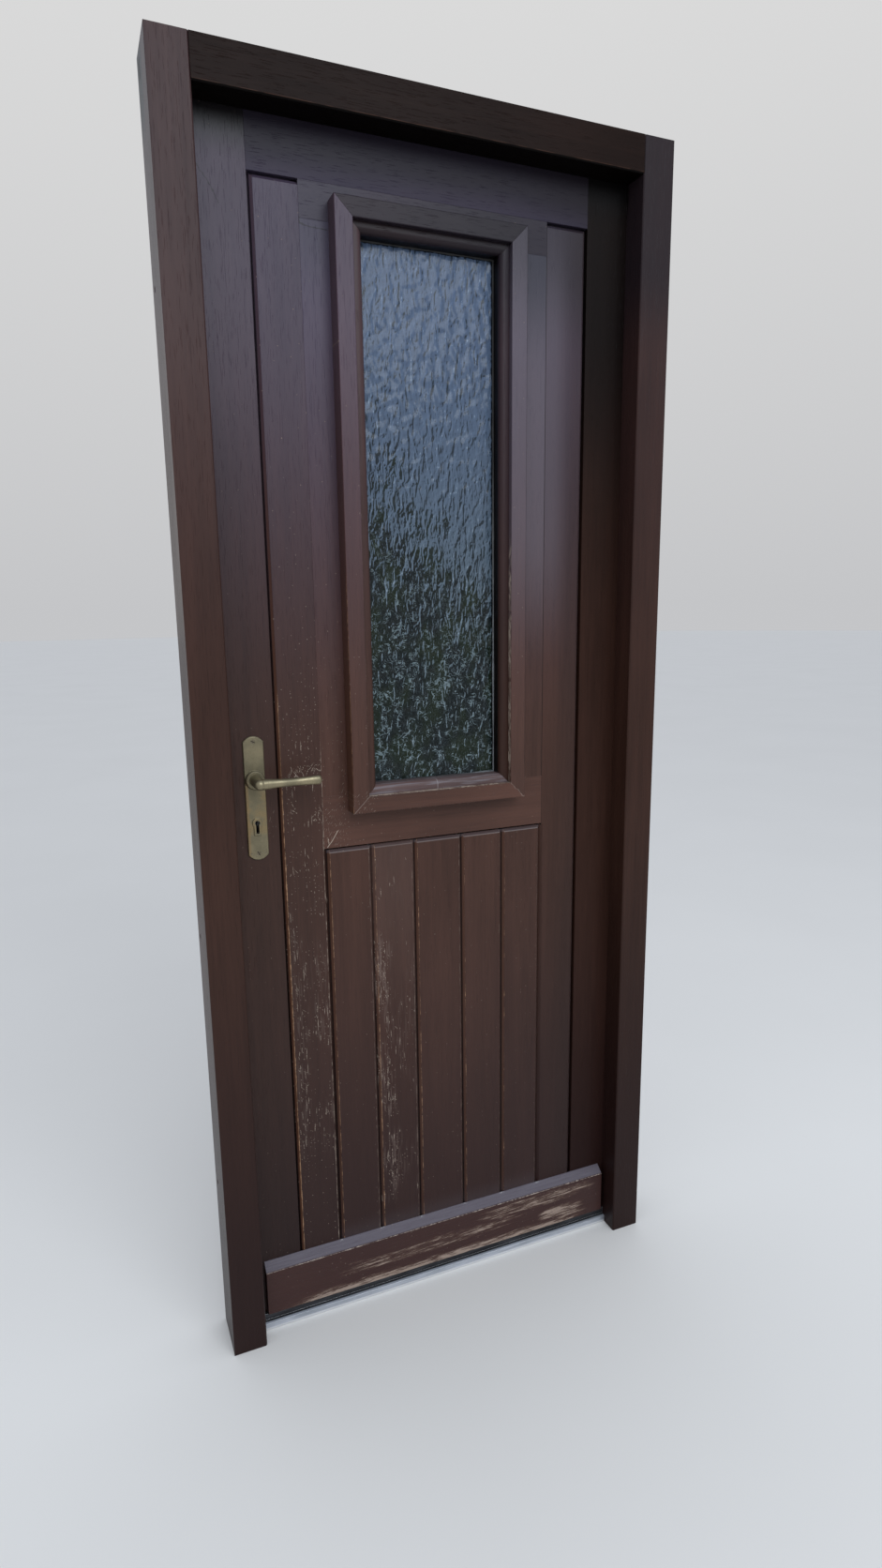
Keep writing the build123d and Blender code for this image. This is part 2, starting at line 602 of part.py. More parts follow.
# Mitred members round the glass
def mitred_ring(section, reach):
    """The four mitred members of a ring.

    The section is a face with its first axis u from the moulding's outer edge towards the
    glass and its second axis y inwards, and reach is how far u goes."""
    left, right = MOULDING_LEFT, MOULDING_RIGHT
    bottom, top = MOULDING_BOTTOM, MOULDING_TOP
    upright = [(0, 0), (reach, reach), (reach, top - bottom - reach), (0, top - bottom)]
    level = [(0, 0), (reach, reach), (reach, right - left - reach), (0, right - left)]
    # Each plane has the section's u towards the glass and its y inwards
    members = {
        "lock": (Plane((left, 0, bottom), x_dir=(1, 0, 0), z_dir=(0, 0, 1)), upright),
        "hinge": (Plane((right, 0, top), x_dir=(-1, 0, 0), z_dir=(0, 0, -1)), upright),
        "bottom": (Plane((right, 0, bottom), x_dir=(0, 0, 1), z_dir=(-1, 0, 0)), level),
        "top": (Plane((left, 0, top), x_dir=(0, 0, -1), z_dir=(1, 0, 0)), level),
    }
    front = section.bounding_box().min.Y
    back = section.bounding_box().max.Y
    ring = {}
    for name, (plane, mitres) in members.items():
        length = max(run for _, run in mitres)
        bar = extrude(section, amount=length) & along_y(mitres, front, back)
        ring[name] = plane * bar
    return ring


def rectangle_section(u0, u1, y0, y1):
    """A rectangular section between two corners."""
    return make_face(Polyline((u0, y0), (u1, y0), (u1, y1), (u0, y1), close=True))


def moulding_section():
    """A flat raised band with rounded arrises."""
    band = rectangle_section(0, MOULDING_FLAT, -MOULDING_PROUD, 0)
    return fillet(band.vertices().group_by(Axis.Y)[0], MOULDING_ARRIS)


def outer_bead_section():
    """A bead with a rounded nose towards the glass."""
    bead = rectangle_section(MOULDING_FLAT, MOULDING_FLAT + BEAD_WIDTH, -BEAD_PROUD, GLASS_FRONT)
    nose = bead.vertices().group_by(Axis.Y)[0].sort_by(Axis.X)[-1]
    return fillet(nose, BEAD_NOSE)


def inner_bead_section():
    """A bead behind the glass with its inner corner bevelled."""
    reach = MOULDING_FLAT + INNER_BEAD_WIDTH
    bead = rectangle_section(MOULDING_FLAT, reach, GLASS_BACK, INNER_BEAD_BACK)
    corner = bead.vertices().group_by(Axis.Y)[-1].sort_by(Axis.X)[-1]
    return chamfer(corner, INNER_BEAD_BEVEL)


def glass_pane():
    """One pane, held between the outer and inner beads."""
    return block(
        OPENING_LEFT + GLASS_EDGE_GAP,
        OPENING_RIGHT - GLASS_EDGE_GAP,
        GLASS_FRONT,
        GLASS_BACK,
        OPENING_BOTTOM + GLASS_EDGE_GAP,
        OPENING_TOP - GLASS_EDGE_GAP,
    )


# Weatherboard
DRIP_FROM_FACE = 7.0
DRIP_WIDTH = 4.0
DRIP_DEPTH = 4.5


def weatherboard():
    """A board with a sloped top and a drip groove underneath."""
    section = [
        (0, WEATHER_BOTTOM),
        (-DRIP_FROM_FACE, WEATHER_BOTTOM),
        (-DRIP_FROM_FACE, WEATHER_BOTTOM + DRIP_DEPTH),
        (-DRIP_FROM_FACE - DRIP_WIDTH, WEATHER_BOTTOM + DRIP_DEPTH),
        (-DRIP_FROM_FACE - DRIP_WIDTH, WEATHER_BOTTOM),
        (-WEATHER_PROUD + ARRIS / 2, WEATHER_BOTTOM),
        (-WEATHER_PROUD, WEATHER_BOTTOM + ARRIS / 2),
        (-WEATHER_PROUD, WEATHER_ARRIS),
        (0, WEATHER_TOP),
    ]
    return along_x(section, -WEATHER_HALF, WEATHER_HALF)


# Handle plates
PLATE_SHOULDER = 9.0  # arched end above the straight side
PLATE_STEP = 2.0
PLATE_BEVEL = 1.3
RIM_PROUD = 1.8
RIM_EDGE = 1.1
RIM_CORNER = 3.5
RIM_RADIUS = 8.4
RIM_SLOT_HALF = 6.2
RIM_DROP = 21.7  # key axis to the rim's lower end
KEY_RADIUS = 4.0
KEY_SLOT_HALF = 2.5
KEY_DROP = 18.0  # key axis to the slot's lower end
PLATE_LOW_SCREW = 11.5  # from the plate's bottom
PLATE_HIGH_SCREW = 9.0  # from its top
PLATE_SCREW_HEIGHTS = (PLATE_BOTTOM + PLATE_LOW_SCREW, PLATE_TOP - PLATE_HIGH_SCREW)
PLATE_NAIL_OFFSET = 12.0
PLATE_SCREW_LENGTH = 14.0


def key_shape(radius, slot_half, drop, y0, y1):
    """A keyhole outline, round above and slotted below, as a solid between two planes."""
    slot = block(LOCK_X - slot_half, LOCK_X + slot_half, y0, y1, KEY_HEIGHT - drop, KEY_HEIGHT)
    return rod_y(LOCK_X, KEY_HEIGHT, radius, y0, y1) + slot


def plate_blank():
    """The long plate with straight sides, small shoulders, arched ends and a bevelled edge."""
    half = PLATE_WIDTH / 2
    chord = half - PLATE_STEP
    low = PLATE_BOTTOM
    high = PLATE_TOP
    shoulder = PLATE_SHOULDER
    step = PLATE_STEP
    centre = LOCK_X
    edges = Curve() + [
        Line((centre - half, 0, low + shoulder), (centre - half, 0, high - shoulder)),
        Line((centre - half, 0, high - shoulder), (centre - chord, 0, high - shoulder + step)),
        ThreePointArc(
            (centre - chord, 0, high - shoulder + step),
            (centre, 0, high),
            (centre + chord, 0, high - shoulder + step),
        ),
        Line((centre + chord, 0, high - shoulder + step), (centre + half, 0, high - shoulder)),
        Line((centre + half, 0, high - shoulder), (centre + half, 0, low + shoulder)),
        Line((centre + half, 0, low + shoulder), (centre + chord, 0, low + shoulder - step)),
        ThreePointArc(
            (centre + chord, 0, low + shoulder - step),
            (centre, 0, low),
            (centre - chord, 0, low + shoulder - step),
        ),
        Line((centre - chord, 0, low + shoulder - step), (centre - half, 0, low + shoulder)),
    ]
    blank = extrude(make_face(edges), amount=PLATE_THICKNESS, dir=(0, -1, 0))
    return chamfer(blank.edges().group_by(Axis.Y)[0], PLATE_BEVEL)


def keyhole_rim():
    """The raised rim round the keyhole, with its edges rounded over."""
    rim = key_shape(RIM_RADIUS, RIM_SLOT_HALF, RIM_DROP, -PLATE_THICKNESS - RIM_PROUD, -PLATE_THICKNESS)
    rim = fillet(rim.edges().filter_by(Axis.Y).group_by(Axis.Z)[0], RIM_CORNER)
    return fillet(rim.edges().group_by(Axis.Y)[0], RIM_EDGE)


def plate_fasteners():
    """The outside plate's fasteners: a screw at the top, a screw and two pins at the bottom."""
    low, high = PLATE_SCREW_HEIGHTS
    front = -PLATE_THICKNESS
    screws = [countersunk(LOCK_X, front, z, (0, 1, 0), length=PLATE_SCREW_LENGTH) for z in (low, high)]
    for side in (-1, 1):
        x = LOCK_X + side * PLATE_NAIL_OFFSET
        screws.append(countersunk(x, front, low, (0, 1, 0), NAIL_HEAD, NAIL_SHANK, NAIL_LENGTH))
    return screws


def handle_plate():
    """The outside plate, with its collar, keyhole rim and fastener holes."""
    collar = rod_y(LOCK_X, HANDLE_HEIGHT, COLLAR_RADIUS, -COLLAR_PROUD, -PLATE_THICKNESS)
    collar = chamfer(collar.edges().group_by(Axis.Y)[0], ARRIS)
    plate = plate_blank() + collar + keyhole_rim()
    plate -= rod_y(LOCK_X, HANDLE_HEIGHT, NECK_RADIUS + RUNNING_FIT, -COLLAR_PROUD, 0)
    plate -= key_shape(KEY_RADIUS, KEY_SLOT_HALF, KEY_DROP, -PLATE_THICKNESS - RIM_PROUD, 0)
    for screw in plate_fasteners():
        plate -= screw
    return plate


# Lever handles
NECK_END = 1.0
SPINDLE_SOCKET = 34.0
LEVER_LENGTH = 100.5  # spindle's axis to the lever's end
LEVER_TIP = 5.5  # length of the rounded end
# Sections of the lever at even steps along it: half height, half depth
LEVER_SECTIONS = (
    (9.0, 8.8),
    (8.6, 7.6),
    (7.7, 6.7),
    (6.9, 6.1),
    (6.5, 5.8),
    (6.4, 5.6),
    (6.6, 5.5),
    (6.9, 5.4),
    (7.3, 5.4),
    (7.6, 5.4),
)


def lever():
    """The outside lever: a round neck, an elbow and a flattened grip with a rounded end."""
    reach = -LEVER_REACH
    neck = rod_y(LOCK_X, HANDLE_HEIGHT, NECK_RADIUS, reach, -NECK_END)
    elbow = Pos(LOCK_X, reach, HANDLE_HEIGHT) * Sphere(NECK_RADIUS)
    faces = []
    for step, (half_z, half_y) in enumerate(LEVER_SECTIONS):
        x = LOCK_X + (LEVER_LENGTH - LEVER_TIP) * step / (len(LEVER_SECTIONS) - 1)
        plane = Plane((x, reach, HANDLE_HEIGHT), x_dir=(0, 1, 0), z_dir=(1, 0, 0))
        faces.append(plane * Ellipse(half_y, half_z))
    grip = loft(faces)
    ball = scale(Sphere(1), by=(LEVER_TIP, half_y, half_z))
    tip = ball & block(0, LEVER_TIP, -half_y, half_y, -half_z, half_z)
    body = neck + elbow + grip + Pos(x, reach, HANDLE_HEIGHT) * tip
    half = SPINDLE_SIZE / 2 + RUNNING_FIT
    socket = block(
        LOCK_X - half,
        LOCK_X + half,
        -SPINDLE_SOCKET,
        -NECK_END,
        HANDLE_HEIGHT - half,
        HANDLE_HEIGHT + half,
    )
    return body - socket


def spindle():
    """The square bar through both levers and the follower."""
    half = SPINDLE_SIZE / 2
    return block(
        LOCK_X - half,
        LOCK_X + half,
        -SPINDLE_SOCKET + 1,
        LEAF_THICKNESS + SPINDLE_SOCKET - 1,
        HANDLE_HEIGHT - half,
        HANDLE_HEIGHT + half,
    )


# Lock
FOLLOWER_RADIUS = 9.0
JOURNAL_RADIUS = 7.5
ARM_TIP = 3.0
TAIL_RADIUS = 3.0
TAIL_SHOULDER = 10.0  # back of the latch head behind the forend
HOOK_GAP = 0.3
HOOK_THICKNESS = 4.5
GUIDE_OFFSET = 18.0  # latch guide's front before the handle's axis
GUIDE_FRONT = LOCK_X - GUIDE_OFFSET
GUIDE_THICKNESS = 4.0
TUMBLER_PIVOT_X = LOCK_X + 18.0
TUMBLER_PIVOT_Z = BOLT_BOTTOM + BOLT_SIZE + 8.0
TUMBLER_PIN = 2.0
SPRING_RADIUS = 4.4
SPRING_WIRE = 0.6
SPRING_TURNS = 6
SPINDLE_BORE = 11.0


def lock_keyway(y0, y1):
    """The opening for the key through the lock and the wood."""
    return key_shape(KEY_RADIUS + 1.5, KEY_SLOT_HALF + 1, KEY_DROP + 1, y0, y1)


def bolt_slots(x0, x1):
    """The slots in the forend and the case for the latch head and the dead bolt."""
    fit = SLIDING_FIT
    latch = block(
        x0,
        x1,
        LATCH_Y[0] - fit,
        LATCH_Y[1] + fit,
        LATCH_HEIGHT - LATCH_SIZE / 2 - fit,
        LATCH_HEIGHT + LATCH_SIZE / 2 + fit,
    )
    bolt = block(
        x0, x1, BOLT_Y[0] - fit, BOLT_Y[1] + fit, BOLT_BOTTOM - fit, BOLT_BOTTOM + BOLT_SIZE + fit
    )
    return latch + bolt


def lock_case():
    """The open box of the lock, with the latch guide and the tumbler's pivot."""
    wall = CASE_WALL
    inside_back = CASE_Y0 + wall
    inside_front = CASE_Y1 - wall
    case = block(CASE_FRONT, CASE_BACK, CASE_Y0, inside_front, CASE_BOTTOM, CASE_TOP)
    case -= block(
        CASE_FRONT + wall, CASE_BACK - wall, inside_back, inside_front, CASE_BOTTOM + wall, CASE_TOP - wall
    )
    guide = block(
        GUIDE_FRONT,
        GUIDE_FRONT + GUIDE_THICKNESS,
        inside_back,
        inside_front,
        LATCH_HEIGHT - 7,
        LATCH_HEIGHT + 7,
    )
    guide -= rod_x(
        LEAF_MIDDLE, LATCH_HEIGHT, TAIL_RADIUS + RUNNING_FIT, GUIDE_FRONT, GUIDE_FRONT + GUIDE_THICKNESS
    )
    case += guide
    case += rod_y(TUMBLER_PIVOT_X, TUMBLER_PIVOT_Z, TUMBLER_PIN, inside_back, inside_front)
    case -= rod_y(LOCK_X, HANDLE_HEIGHT, JOURNAL_RADIUS + RUNNING_FIT, CASE_Y0, inside_back)
    case -= lock_keyway(CASE_Y0, inside_back)
    return case - bolt_slots(CASE_FRONT, CASE_FRONT + wall)


def lock_cover():
    """The flat lid of the lock."""
    y0 = CASE_Y1 - CASE_WALL
    cover = block(CASE_FRONT, CASE_BACK, y0, CASE_Y1, CASE_BOTTOM, CASE_TOP)
    cover -= rod_y(LOCK_X, HANDLE_HEIGHT, JOURNAL_RADIUS + RUNNING_FIT, y0, CASE_Y1)
    return cover - lock_keyway(y0, CASE_Y1)


FOREND_SCREW_HEIGHTS = (FOREND_BOTTOM + SCREW_MARGIN, FOREND_TOP - SCREW_MARGIN)


def forend_blank():
    """The lock's face plate before its openings are cut, let into the leaf's edge."""
    half = FOREND_WIDTH / 2
    return block(
        -LEAF_X, CASE_FRONT, LEAF_MIDDLE - half, LEAF_MIDDLE + half, FOREND_BOTTOM, FOREND_TOP
    )


def forend_screws():
    """Two countersunk screws through the forend into the stile's edge."""
    return [countersunk(-LEAF_X, LEAF_MIDDLE, z, (1, 0, 0)) for z in FOREND_SCREW_HEIGHTS]


def follower():
    """The hub turned by the spindle, with two journals and the arm that draws the latch."""
    inner = CASE_Y0 + CASE_WALL + SLIDING_FIT
    outer = CASE_Y1 - CASE_WALL - SLIDING_FIT
    hub = rod_y(LOCK_X, HANDLE_HEIGHT, FOLLOWER_RADIUS, inner, outer)
    hub += rod_y(LOCK_X, HANDLE_HEIGHT, JOURNAL_RADIUS, CASE_Y0, CASE_Y1)
    tip = HANDLE_HEIGHT + FOLLOWER_ARM
    hub += block(LOCK_X - ARM_TIP, LOCK_X + ARM_TIP, inner, outer, HANDLE_HEIGHT, tip)
    hub += rod_y(LOCK_X, tip, ARM_TIP, inner, outer)
    half = SPINDLE_SIZE / 2 + RUNNING_FIT
    return hub - block(
        LOCK_X - half, LOCK_X + half, CASE_Y0, CASE_Y1, HANDLE_HEIGHT - half, HANDLE_HEIGHT + half
    )


def latch_bolt():
    """The sprung latch: a bevelled head, a round tail and the hook that the follower draws."""
    tip = -LEAF_X - LATCH_PROUD
    shoulder = -LEAF_X + TAIL_SHOULDER
    section = [
        (tip, LATCH_Y[1]),
        (tip, LATCH_Y[1] - 2),
        (-LEAF_X, LATCH_Y[0]),
        (shoulder, LATCH_Y[0]),
        (shoulder, LATCH_Y[1]),
    ]
    head_shape = along_z(section, LATCH_HEIGHT - LATCH_SIZE / 2, LATCH_HEIGHT + LATCH_SIZE / 2)
    hook_front = LOCK_X + ARM_TIP + HOOK_GAP
    tail = rod_x(LEAF_MIDDLE, LATCH_HEIGHT, TAIL_RADIUS, shoulder, hook_front)
    hook = block(
        hook_front,
        hook_front + HOOK_THICKNESS,
        LEAF_MIDDLE - 4,
        LEAF_MIDDLE + 4,
        HANDLE_HEIGHT + FOLLOWER_ARM - 6.5,
        LATCH_HEIGHT + 6,
    )
    return head_shape + tail + hook


def latch_spring():
    """A coil spring on the latch's tail, between the latch head and the guide."""
    front = -LEAF_X + TAIL_SHOULDER + SPRING_WIRE
    length = GUIDE_FRONT - SPRING_WIRE - front
    path = Helix(pitch=length / SPRING_TURNS, height=length, radius=SPRING_RADIUS)
    profile = (path ^ 0) * Circle(SPRING_WIRE)
    coil = sweep(profile, path=path, is_frenet=True)
    return Pos(front, LEAF_MIDDLE, LATCH_HEIGHT) * Rot(0, 90, 0) * coil


BOLT_TAIL_END = LOCK_X + 12.0
TALON_HALF = 6.0
TALON_HEIGHT = 6.0


def dead_bolt():
    """The key-driven bolt, drawn back, with the notch for the key's bit under its tail."""
    front = -LEAF_X + SLIDING_FIT
    bolt = block(front, BOLT_TAIL_END, *BOLT_Y, BOLT_BOTTOM, BOLT_BOTTOM + BOLT_SIZE)
    return bolt - block(
        LOCK_X - TALON_HALF,
        LOCK_X + TALON_HALF,
        *BOLT_Y,
        BOLT_BOTTOM,
        BOLT_BOTTOM + TALON_HEIGHT,
    )


TUMBLER_GAP = 0.2
TUMBLER_TIP = LOCK_X - 21.0
TUMBLER_DROP = KEY_HEIGHT + 7.0
TUMBLER_HALF = 6.0


def tumbler():
    """The pivoted plate beside the dead bolt, which the key lifts."""
    y0 = BOLT_Y[1] + TUMBLER_GAP
    y1 = CASE_Y1 - CASE_WALL - TUMBLER_GAP
    outline = [
        (TUMBLER_TIP, TUMBLER_DROP + 8),
        (LOCK_X - 10, TUMBLER_DROP),
        (LOCK_X + 8, TUMBLER_DROP),
        (TUMBLER_PIVOT_X + 4, TUMBLER_PIVOT_Z - 6),
        (TUMBLER_PIVOT_X, TUMBLER_PIVOT_Z + TUMBLER_HALF),
        (TUMBLER_TIP, BOLT_BOTTOM + BOLT_SIZE + 4),
    ]
    plate = along_y(outline, y0, y1)
    plate += rod_y(TUMBLER_PIVOT_X, TUMBLER_PIVOT_Z, TUMBLER_HALF - 2, y0, y1)
    return plate - rod_y(TUMBLER_PIVOT_X, TUMBLER_PIVOT_Z, TUMBLER_PIN + RUNNING_FIT, y0, y1)


def lock_mortise():
    """All the wood taken out of the lock stile for the lock, the spindle and the key."""
    pocket = block(CASE_FRONT, CASE_BACK, CASE_Y0, CASE_Y1, CASE_BOTTOM, CASE_TOP)
    bore = rod_y(LOCK_X, HANDLE_HEIGHT, SPINDLE_BORE, 0, LEAF_THICKNESS)
    return pocket + forend_blank() + bore + lock_keyway(0, LEAF_THICKNESS)


def cut_all(shape, tools):
    """The shape with every tool taken out of it."""
    for tool in tools:
        shape -= tool
    return shape


def build_parts():
    """Every sub-part by node name."""
    outside_fasteners = plate_fasteners()
    inside_fasteners = [mirror_inside(screw) for screw in outside_fasteners]
    jamb_hinge_screws = hinge_screws(REBATE_X, (1, 0, 0))
    leaf_hinge_screws = hinge_screws(LEAF_X, (-1, 0, 0))
    jamb_hinge_plates = [hinge_plate(REBATE_X, middle) for middle in HINGE_HEIGHTS]
    leaf_hinge_plates = [hinge_plate(LEAF_X - HINGE_PLATE, middle) for middle in HINGE_HEIGHTS]
    pockets = strike_openings(-REBATE_X - STRIKE_POCKET, -REBATE_X)
    outside_plate = handle_plate()
    outside_lever = lever()
    parts = {
        "lock_jamb": cut_all(jamb(-1), [strike_blank(), pockets] + strike_screws()),
        "hinge_jamb": cut_all(jamb(1), jamb_hinge_plates + jamb_hinge_screws),
        "head_jamb": head(),
        "threshold": threshold(),
        "threshold_seal": threshold_seal(),
        "strike_plate": cut_all(strike_blank(), [pockets] + strike_screws()),
        "strike_screws": strike_screws(),
        "hinge_pins": [hinge_pin(middle) for middle in HINGE_HEIGHTS],
        "hinge_jamb_screws": jamb_hinge_screws,
        "hinge_leaf_screws": leaf_hinge_screws,
        "lock_stile": cut_all(
            stile(-1), [lock_mortise()] + forend_screws() + outside_fasteners + inside_fasteners
        ),
        "hinge_stile": cut_all(stile(1), leaf_hinge_plates + leaf_hinge_screws),
        "top_rail": top_rail(),
        "bottom_rail": bottom_rail(),
        "board_lock_side": board_lock_side(),
        "board_hinge_side": board_hinge_side(),
        "window_lock_stile": sash_lock_stile(),
        "window_hinge_stile": sash_hinge_stile(),
        "window_top_rail": sash_rail(OPENING_TOP, TOP_RAIL_BOTTOM, FIELD_TOP),
        "window_mid_rail": mid_rail(),
        "glass_pane": glass_pane(),
        "weatherboard": weatherboard(),
        "outside_plate": outside_plate,
        "inside_plate": mirror_inside(outside_plate),
        "plate_screws": outside_fasteners + inside_fasteners,
        "lock_case": lock_case(),
        "lock_cover": lock_cover(),
        "forend": cut_all(forend_blank(), [bolt_slots(-LEAF_X, CASE_FRONT)] + forend_screws()),
        "forend_screws": forend_screws(),
        "latch_spring": latch_spring(),
        "outside_lever": outside_lever,
        "inside_lever": mirror_inside(outside_lever),
        "spindle": spindle(),
        "follower": follower(),
        "latch_bolt": latch_bolt(),
        "dead_bolt": dead_bolt(),
        "tumbler": tumbler(),
    }
    for number, (x0, x1) in enumerate(zip(BOARD_LINES, BOARD_LINES[1:]), start=1):
        parts[f"board_{number}"] = short_board(x0, x1)
    reach = MOULDING_FLAT + BEAD_WIDTH
    for place, member in mitred_ring(moulding_section(), MOULDING_FLAT).items():
        parts[f"moulding_{place}"] = member
    for place, member in mitred_ring(outer_bead_section(), reach).items():
        parts[f"outer_bead_{place}"] = member
    for place, member in mitred_ring(inner_bead_section(), MOULDING_FLAT + INNER_BEAD_WIDTH).items():
        parts[f"inner_bead_{place}"] = member
    for number, middle in enumerate(HINGE_HEIGHTS, start=1):
        jamb_half = hinge_jamb_half(middle)
        leaf_half = hinge_leaf_half(middle)
        parts[f"hinge_jamb_half_{number}"] = cut_all(jamb_half, jamb_hinge_screws)
        parts[f"hinge_leaf_half_{number}"] = cut_all(leaf_half, leaf_hinge_screws)
    return parts


def main():
    """Write one STEP file for each node."""
    os.makedirs("parts", exist_ok=True)
    for name, shape in build_parts().items():
        solids = []
        for piece in shape if isinstance(shape, list) else [shape]:
            solids.extend(piece.solids())
        part = solids[0] if len(solids) == 1 else Compound(children=solids)
        export_step(part, os.path.join("parts", f"{name}.step"))


main()
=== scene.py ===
import math
import bpy
import numpy as np
from mathutils import Matrix, Vector


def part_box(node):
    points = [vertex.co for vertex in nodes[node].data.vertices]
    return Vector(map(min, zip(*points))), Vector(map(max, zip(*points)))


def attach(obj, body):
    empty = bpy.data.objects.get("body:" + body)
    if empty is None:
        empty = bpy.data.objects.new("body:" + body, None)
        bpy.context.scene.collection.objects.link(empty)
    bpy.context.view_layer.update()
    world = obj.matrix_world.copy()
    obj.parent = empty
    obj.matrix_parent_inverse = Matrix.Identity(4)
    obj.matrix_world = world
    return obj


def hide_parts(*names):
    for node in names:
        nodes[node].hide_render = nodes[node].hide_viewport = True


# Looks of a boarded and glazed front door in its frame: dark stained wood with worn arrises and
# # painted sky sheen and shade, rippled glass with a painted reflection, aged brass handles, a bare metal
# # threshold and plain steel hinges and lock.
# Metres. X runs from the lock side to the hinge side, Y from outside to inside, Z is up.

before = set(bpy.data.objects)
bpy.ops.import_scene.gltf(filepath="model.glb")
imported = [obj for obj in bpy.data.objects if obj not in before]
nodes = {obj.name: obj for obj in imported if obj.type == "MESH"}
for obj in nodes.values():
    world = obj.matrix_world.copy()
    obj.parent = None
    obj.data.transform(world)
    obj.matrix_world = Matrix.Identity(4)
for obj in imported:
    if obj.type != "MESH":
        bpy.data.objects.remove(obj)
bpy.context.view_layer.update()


# Making of a finish
class Finish:
    """A material in the making: each call adds one node and gives back its result."""

    def __init__(self, name):
        self.material = bpy.data.materials.new(name)
        self.material.use_nodes = True
        self.tree = self.material.node_tree
        self.shader = self.tree.nodes["Principled BSDF"]
        self.place = self.add("ShaderNodeTexCoord").outputs["Object"]
        split = self.add("ShaderNodeSeparateXYZ", {0: self.place})
        self.x, self.y, self.z = split.outputs

    def add(self, kind, inputs=None, **settings):
        made = self.tree.nodes.new(kind)
        for key, value in settings.items():
            setattr(made, key, value)
        for key, value in (inputs or {}).items():
            if isinstance(value, bpy.types.NodeSocket):
                self.tree.links.new(value, made.inputs[key])
            else:
                made.inputs[key].default_value = value
        return made

    def math(self, operation, *values, clamp=False):
        made = self.add("ShaderNodeMath", dict(enumerate(values)), operation=operation, use_clamp=clamp)
        return made.outputs[0]

    def stretched(self, scale, shift=(0, 0, 0), turn=(0, 0, 0)):
        """Object coordinates, shifted, turned and scaled."""
        moved = self.add("ShaderNodeMapping", {"Vector": self.place, "Location": shift, "Rotation": turn})
        return self.add("ShaderNodeMapping", {"Vector": moved.outputs[0], "Scale": scale}).outputs[0]

    def noise(self, where, scale=1.0, detail=3.0, roughness=0.5, distortion=0.0):
        inputs = {"Vector": where, "Scale": scale, "Detail": detail, "Roughness": roughness}
        return self.add("ShaderNodeTexNoise", {**inputs, "Distortion": distortion}).outputs["Fac"]

    def step(self, value, low, high, start=0.0, end=1.0):
        """A smooth change from start to end as the value goes from low to high."""
        made = self.add(
            "ShaderNodeMapRange",
            {"Value": value, "From Min": low, "From Max": high, "To Min": start, "To Max": end},
            interpolation_type="SMOOTHSTEP",
        )
        return made.outputs[0]

    def fall(self, value, low, high):
        """A smooth change from one to nothing as the value goes from low to high."""
        return self.step(value, low, high, 1.0, 0.0)

    def band(self, value, low, high, soft):
        """One between low and high, falling to nothing over the soft edge."""
        up = self.step(value, low - soft, low)
        down = self.fall(value, high, high + soft)
        return self.math("MULTIPLY", up, down)

    def plus(self, first, second, clamp=False):
        return self.math("ADD", first, second, clamp=clamp)

    def minus(self, first, second):
        return self.math("SUBTRACT", first, second)

    def gap(self, first, second):
        """How far two values are apart."""
        return self.math("ABSOLUTE", self.minus(first, second))

    def draw(self, cell):
        """Four random numbers of a cell, each from nothing to one."""
        drawn = self.add("ShaderNodeTexWhiteNoise", {"Vector": cell}, noise_dimensions="3D")
        parts = self.add("ShaderNodeSeparateColor", {0: drawn.outputs["Color"]}).outputs
        return (*parts, drawn.outputs["Value"])

    def times(self, *values):
        result = values[0]
        for value in values[1:]:
            result = self.math("MULTIPLY", result, value)
        return result

    def most(self, *values):
        result = values[0]
        for value in values[1:]:
            result = self.math("MAXIMUM", result, value)
        return result

    def mix(self, factor, first, second):
        """The second colour over the first by the factor."""
        ends = [c if isinstance(c, bpy.types.NodeSocket) else (*c, 1.0) for c in (first, second)]
        made = self.add("ShaderNodeMix", {0: factor, 6: ends[0], 7: ends[1]}, data_type="RGBA")
        return made.outputs[2]

    def bump(self, height, distance, normal=None):
        inputs = {"Height": height, "Distance": distance, "Strength": 1.0}
        if normal is not None:
            inputs["Normal"] = normal
        return self.add("ShaderNodeBump", inputs).outputs[0]

    def done(self, colour=None, roughness=None, normal=None, **plain):
        """Links what varies to the shader and sets what doesn't on its own sockets."""
        for key, value in (("Base Color", colour), ("Roughness", roughness), ("Normal", normal)):
            if value is not None:
                self.tree.links.new(value, self.shader.inputs[key])
        for key, value in plain.items():
            self.shader.inputs[key.replace("_", " ")].default_value = value
        return self.material


def worn_edge(f, radius, low, high):
    """Where a rounded normal leaves the face's own, close to an edge of the solid."""
    rounded = f.add("ShaderNodeBevel", {"Radius": radius}, samples=4).outputs[0]
    flat = f.add("ShaderNodeNewGeometry").outputs["True Normal"]
    dot = f.add("ShaderNodeVectorMath", {0: rounded, 1: flat}, operation="DOT_PRODUCT").outputs["Value"]
    return f.step(dot, high, low, 0.0, 1.0), rounded


# Places, from the frame and four sizes of the joiner's work
OPEN_JOINT = 0.003  # board edge to stile or rail
BOARD_CHAMFER = 0.0055
TONGUE_LENGTH = 0.008
WEATHERBOARD_SLOPE = 0.0135  # how far the sloped top rises behind its arris
BOARDS_BEFORE_JOINTS = ("board_lock_side", "board_1", "board_2", "board_3", "board_4", "board_5")
BOARD_JOINTS = [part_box(board)[1].x for board in BOARDS_BEFORE_JOINTS]
FIELD_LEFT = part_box("lock_stile")[1].x + OPEN_JOINT
FIELD_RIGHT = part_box("hinge_stile")[0].x - OPEN_JOINT
BOARD_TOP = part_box("window_mid_rail")[0].z - OPEN_JOINT
WINDOW_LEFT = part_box("window_lock_stile")[0].x + TONGUE_LENGTH
WINDOW_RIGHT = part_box("window_hinge_stile")[1].x
WEATHERBOARD_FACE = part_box("weatherboard")[0].y
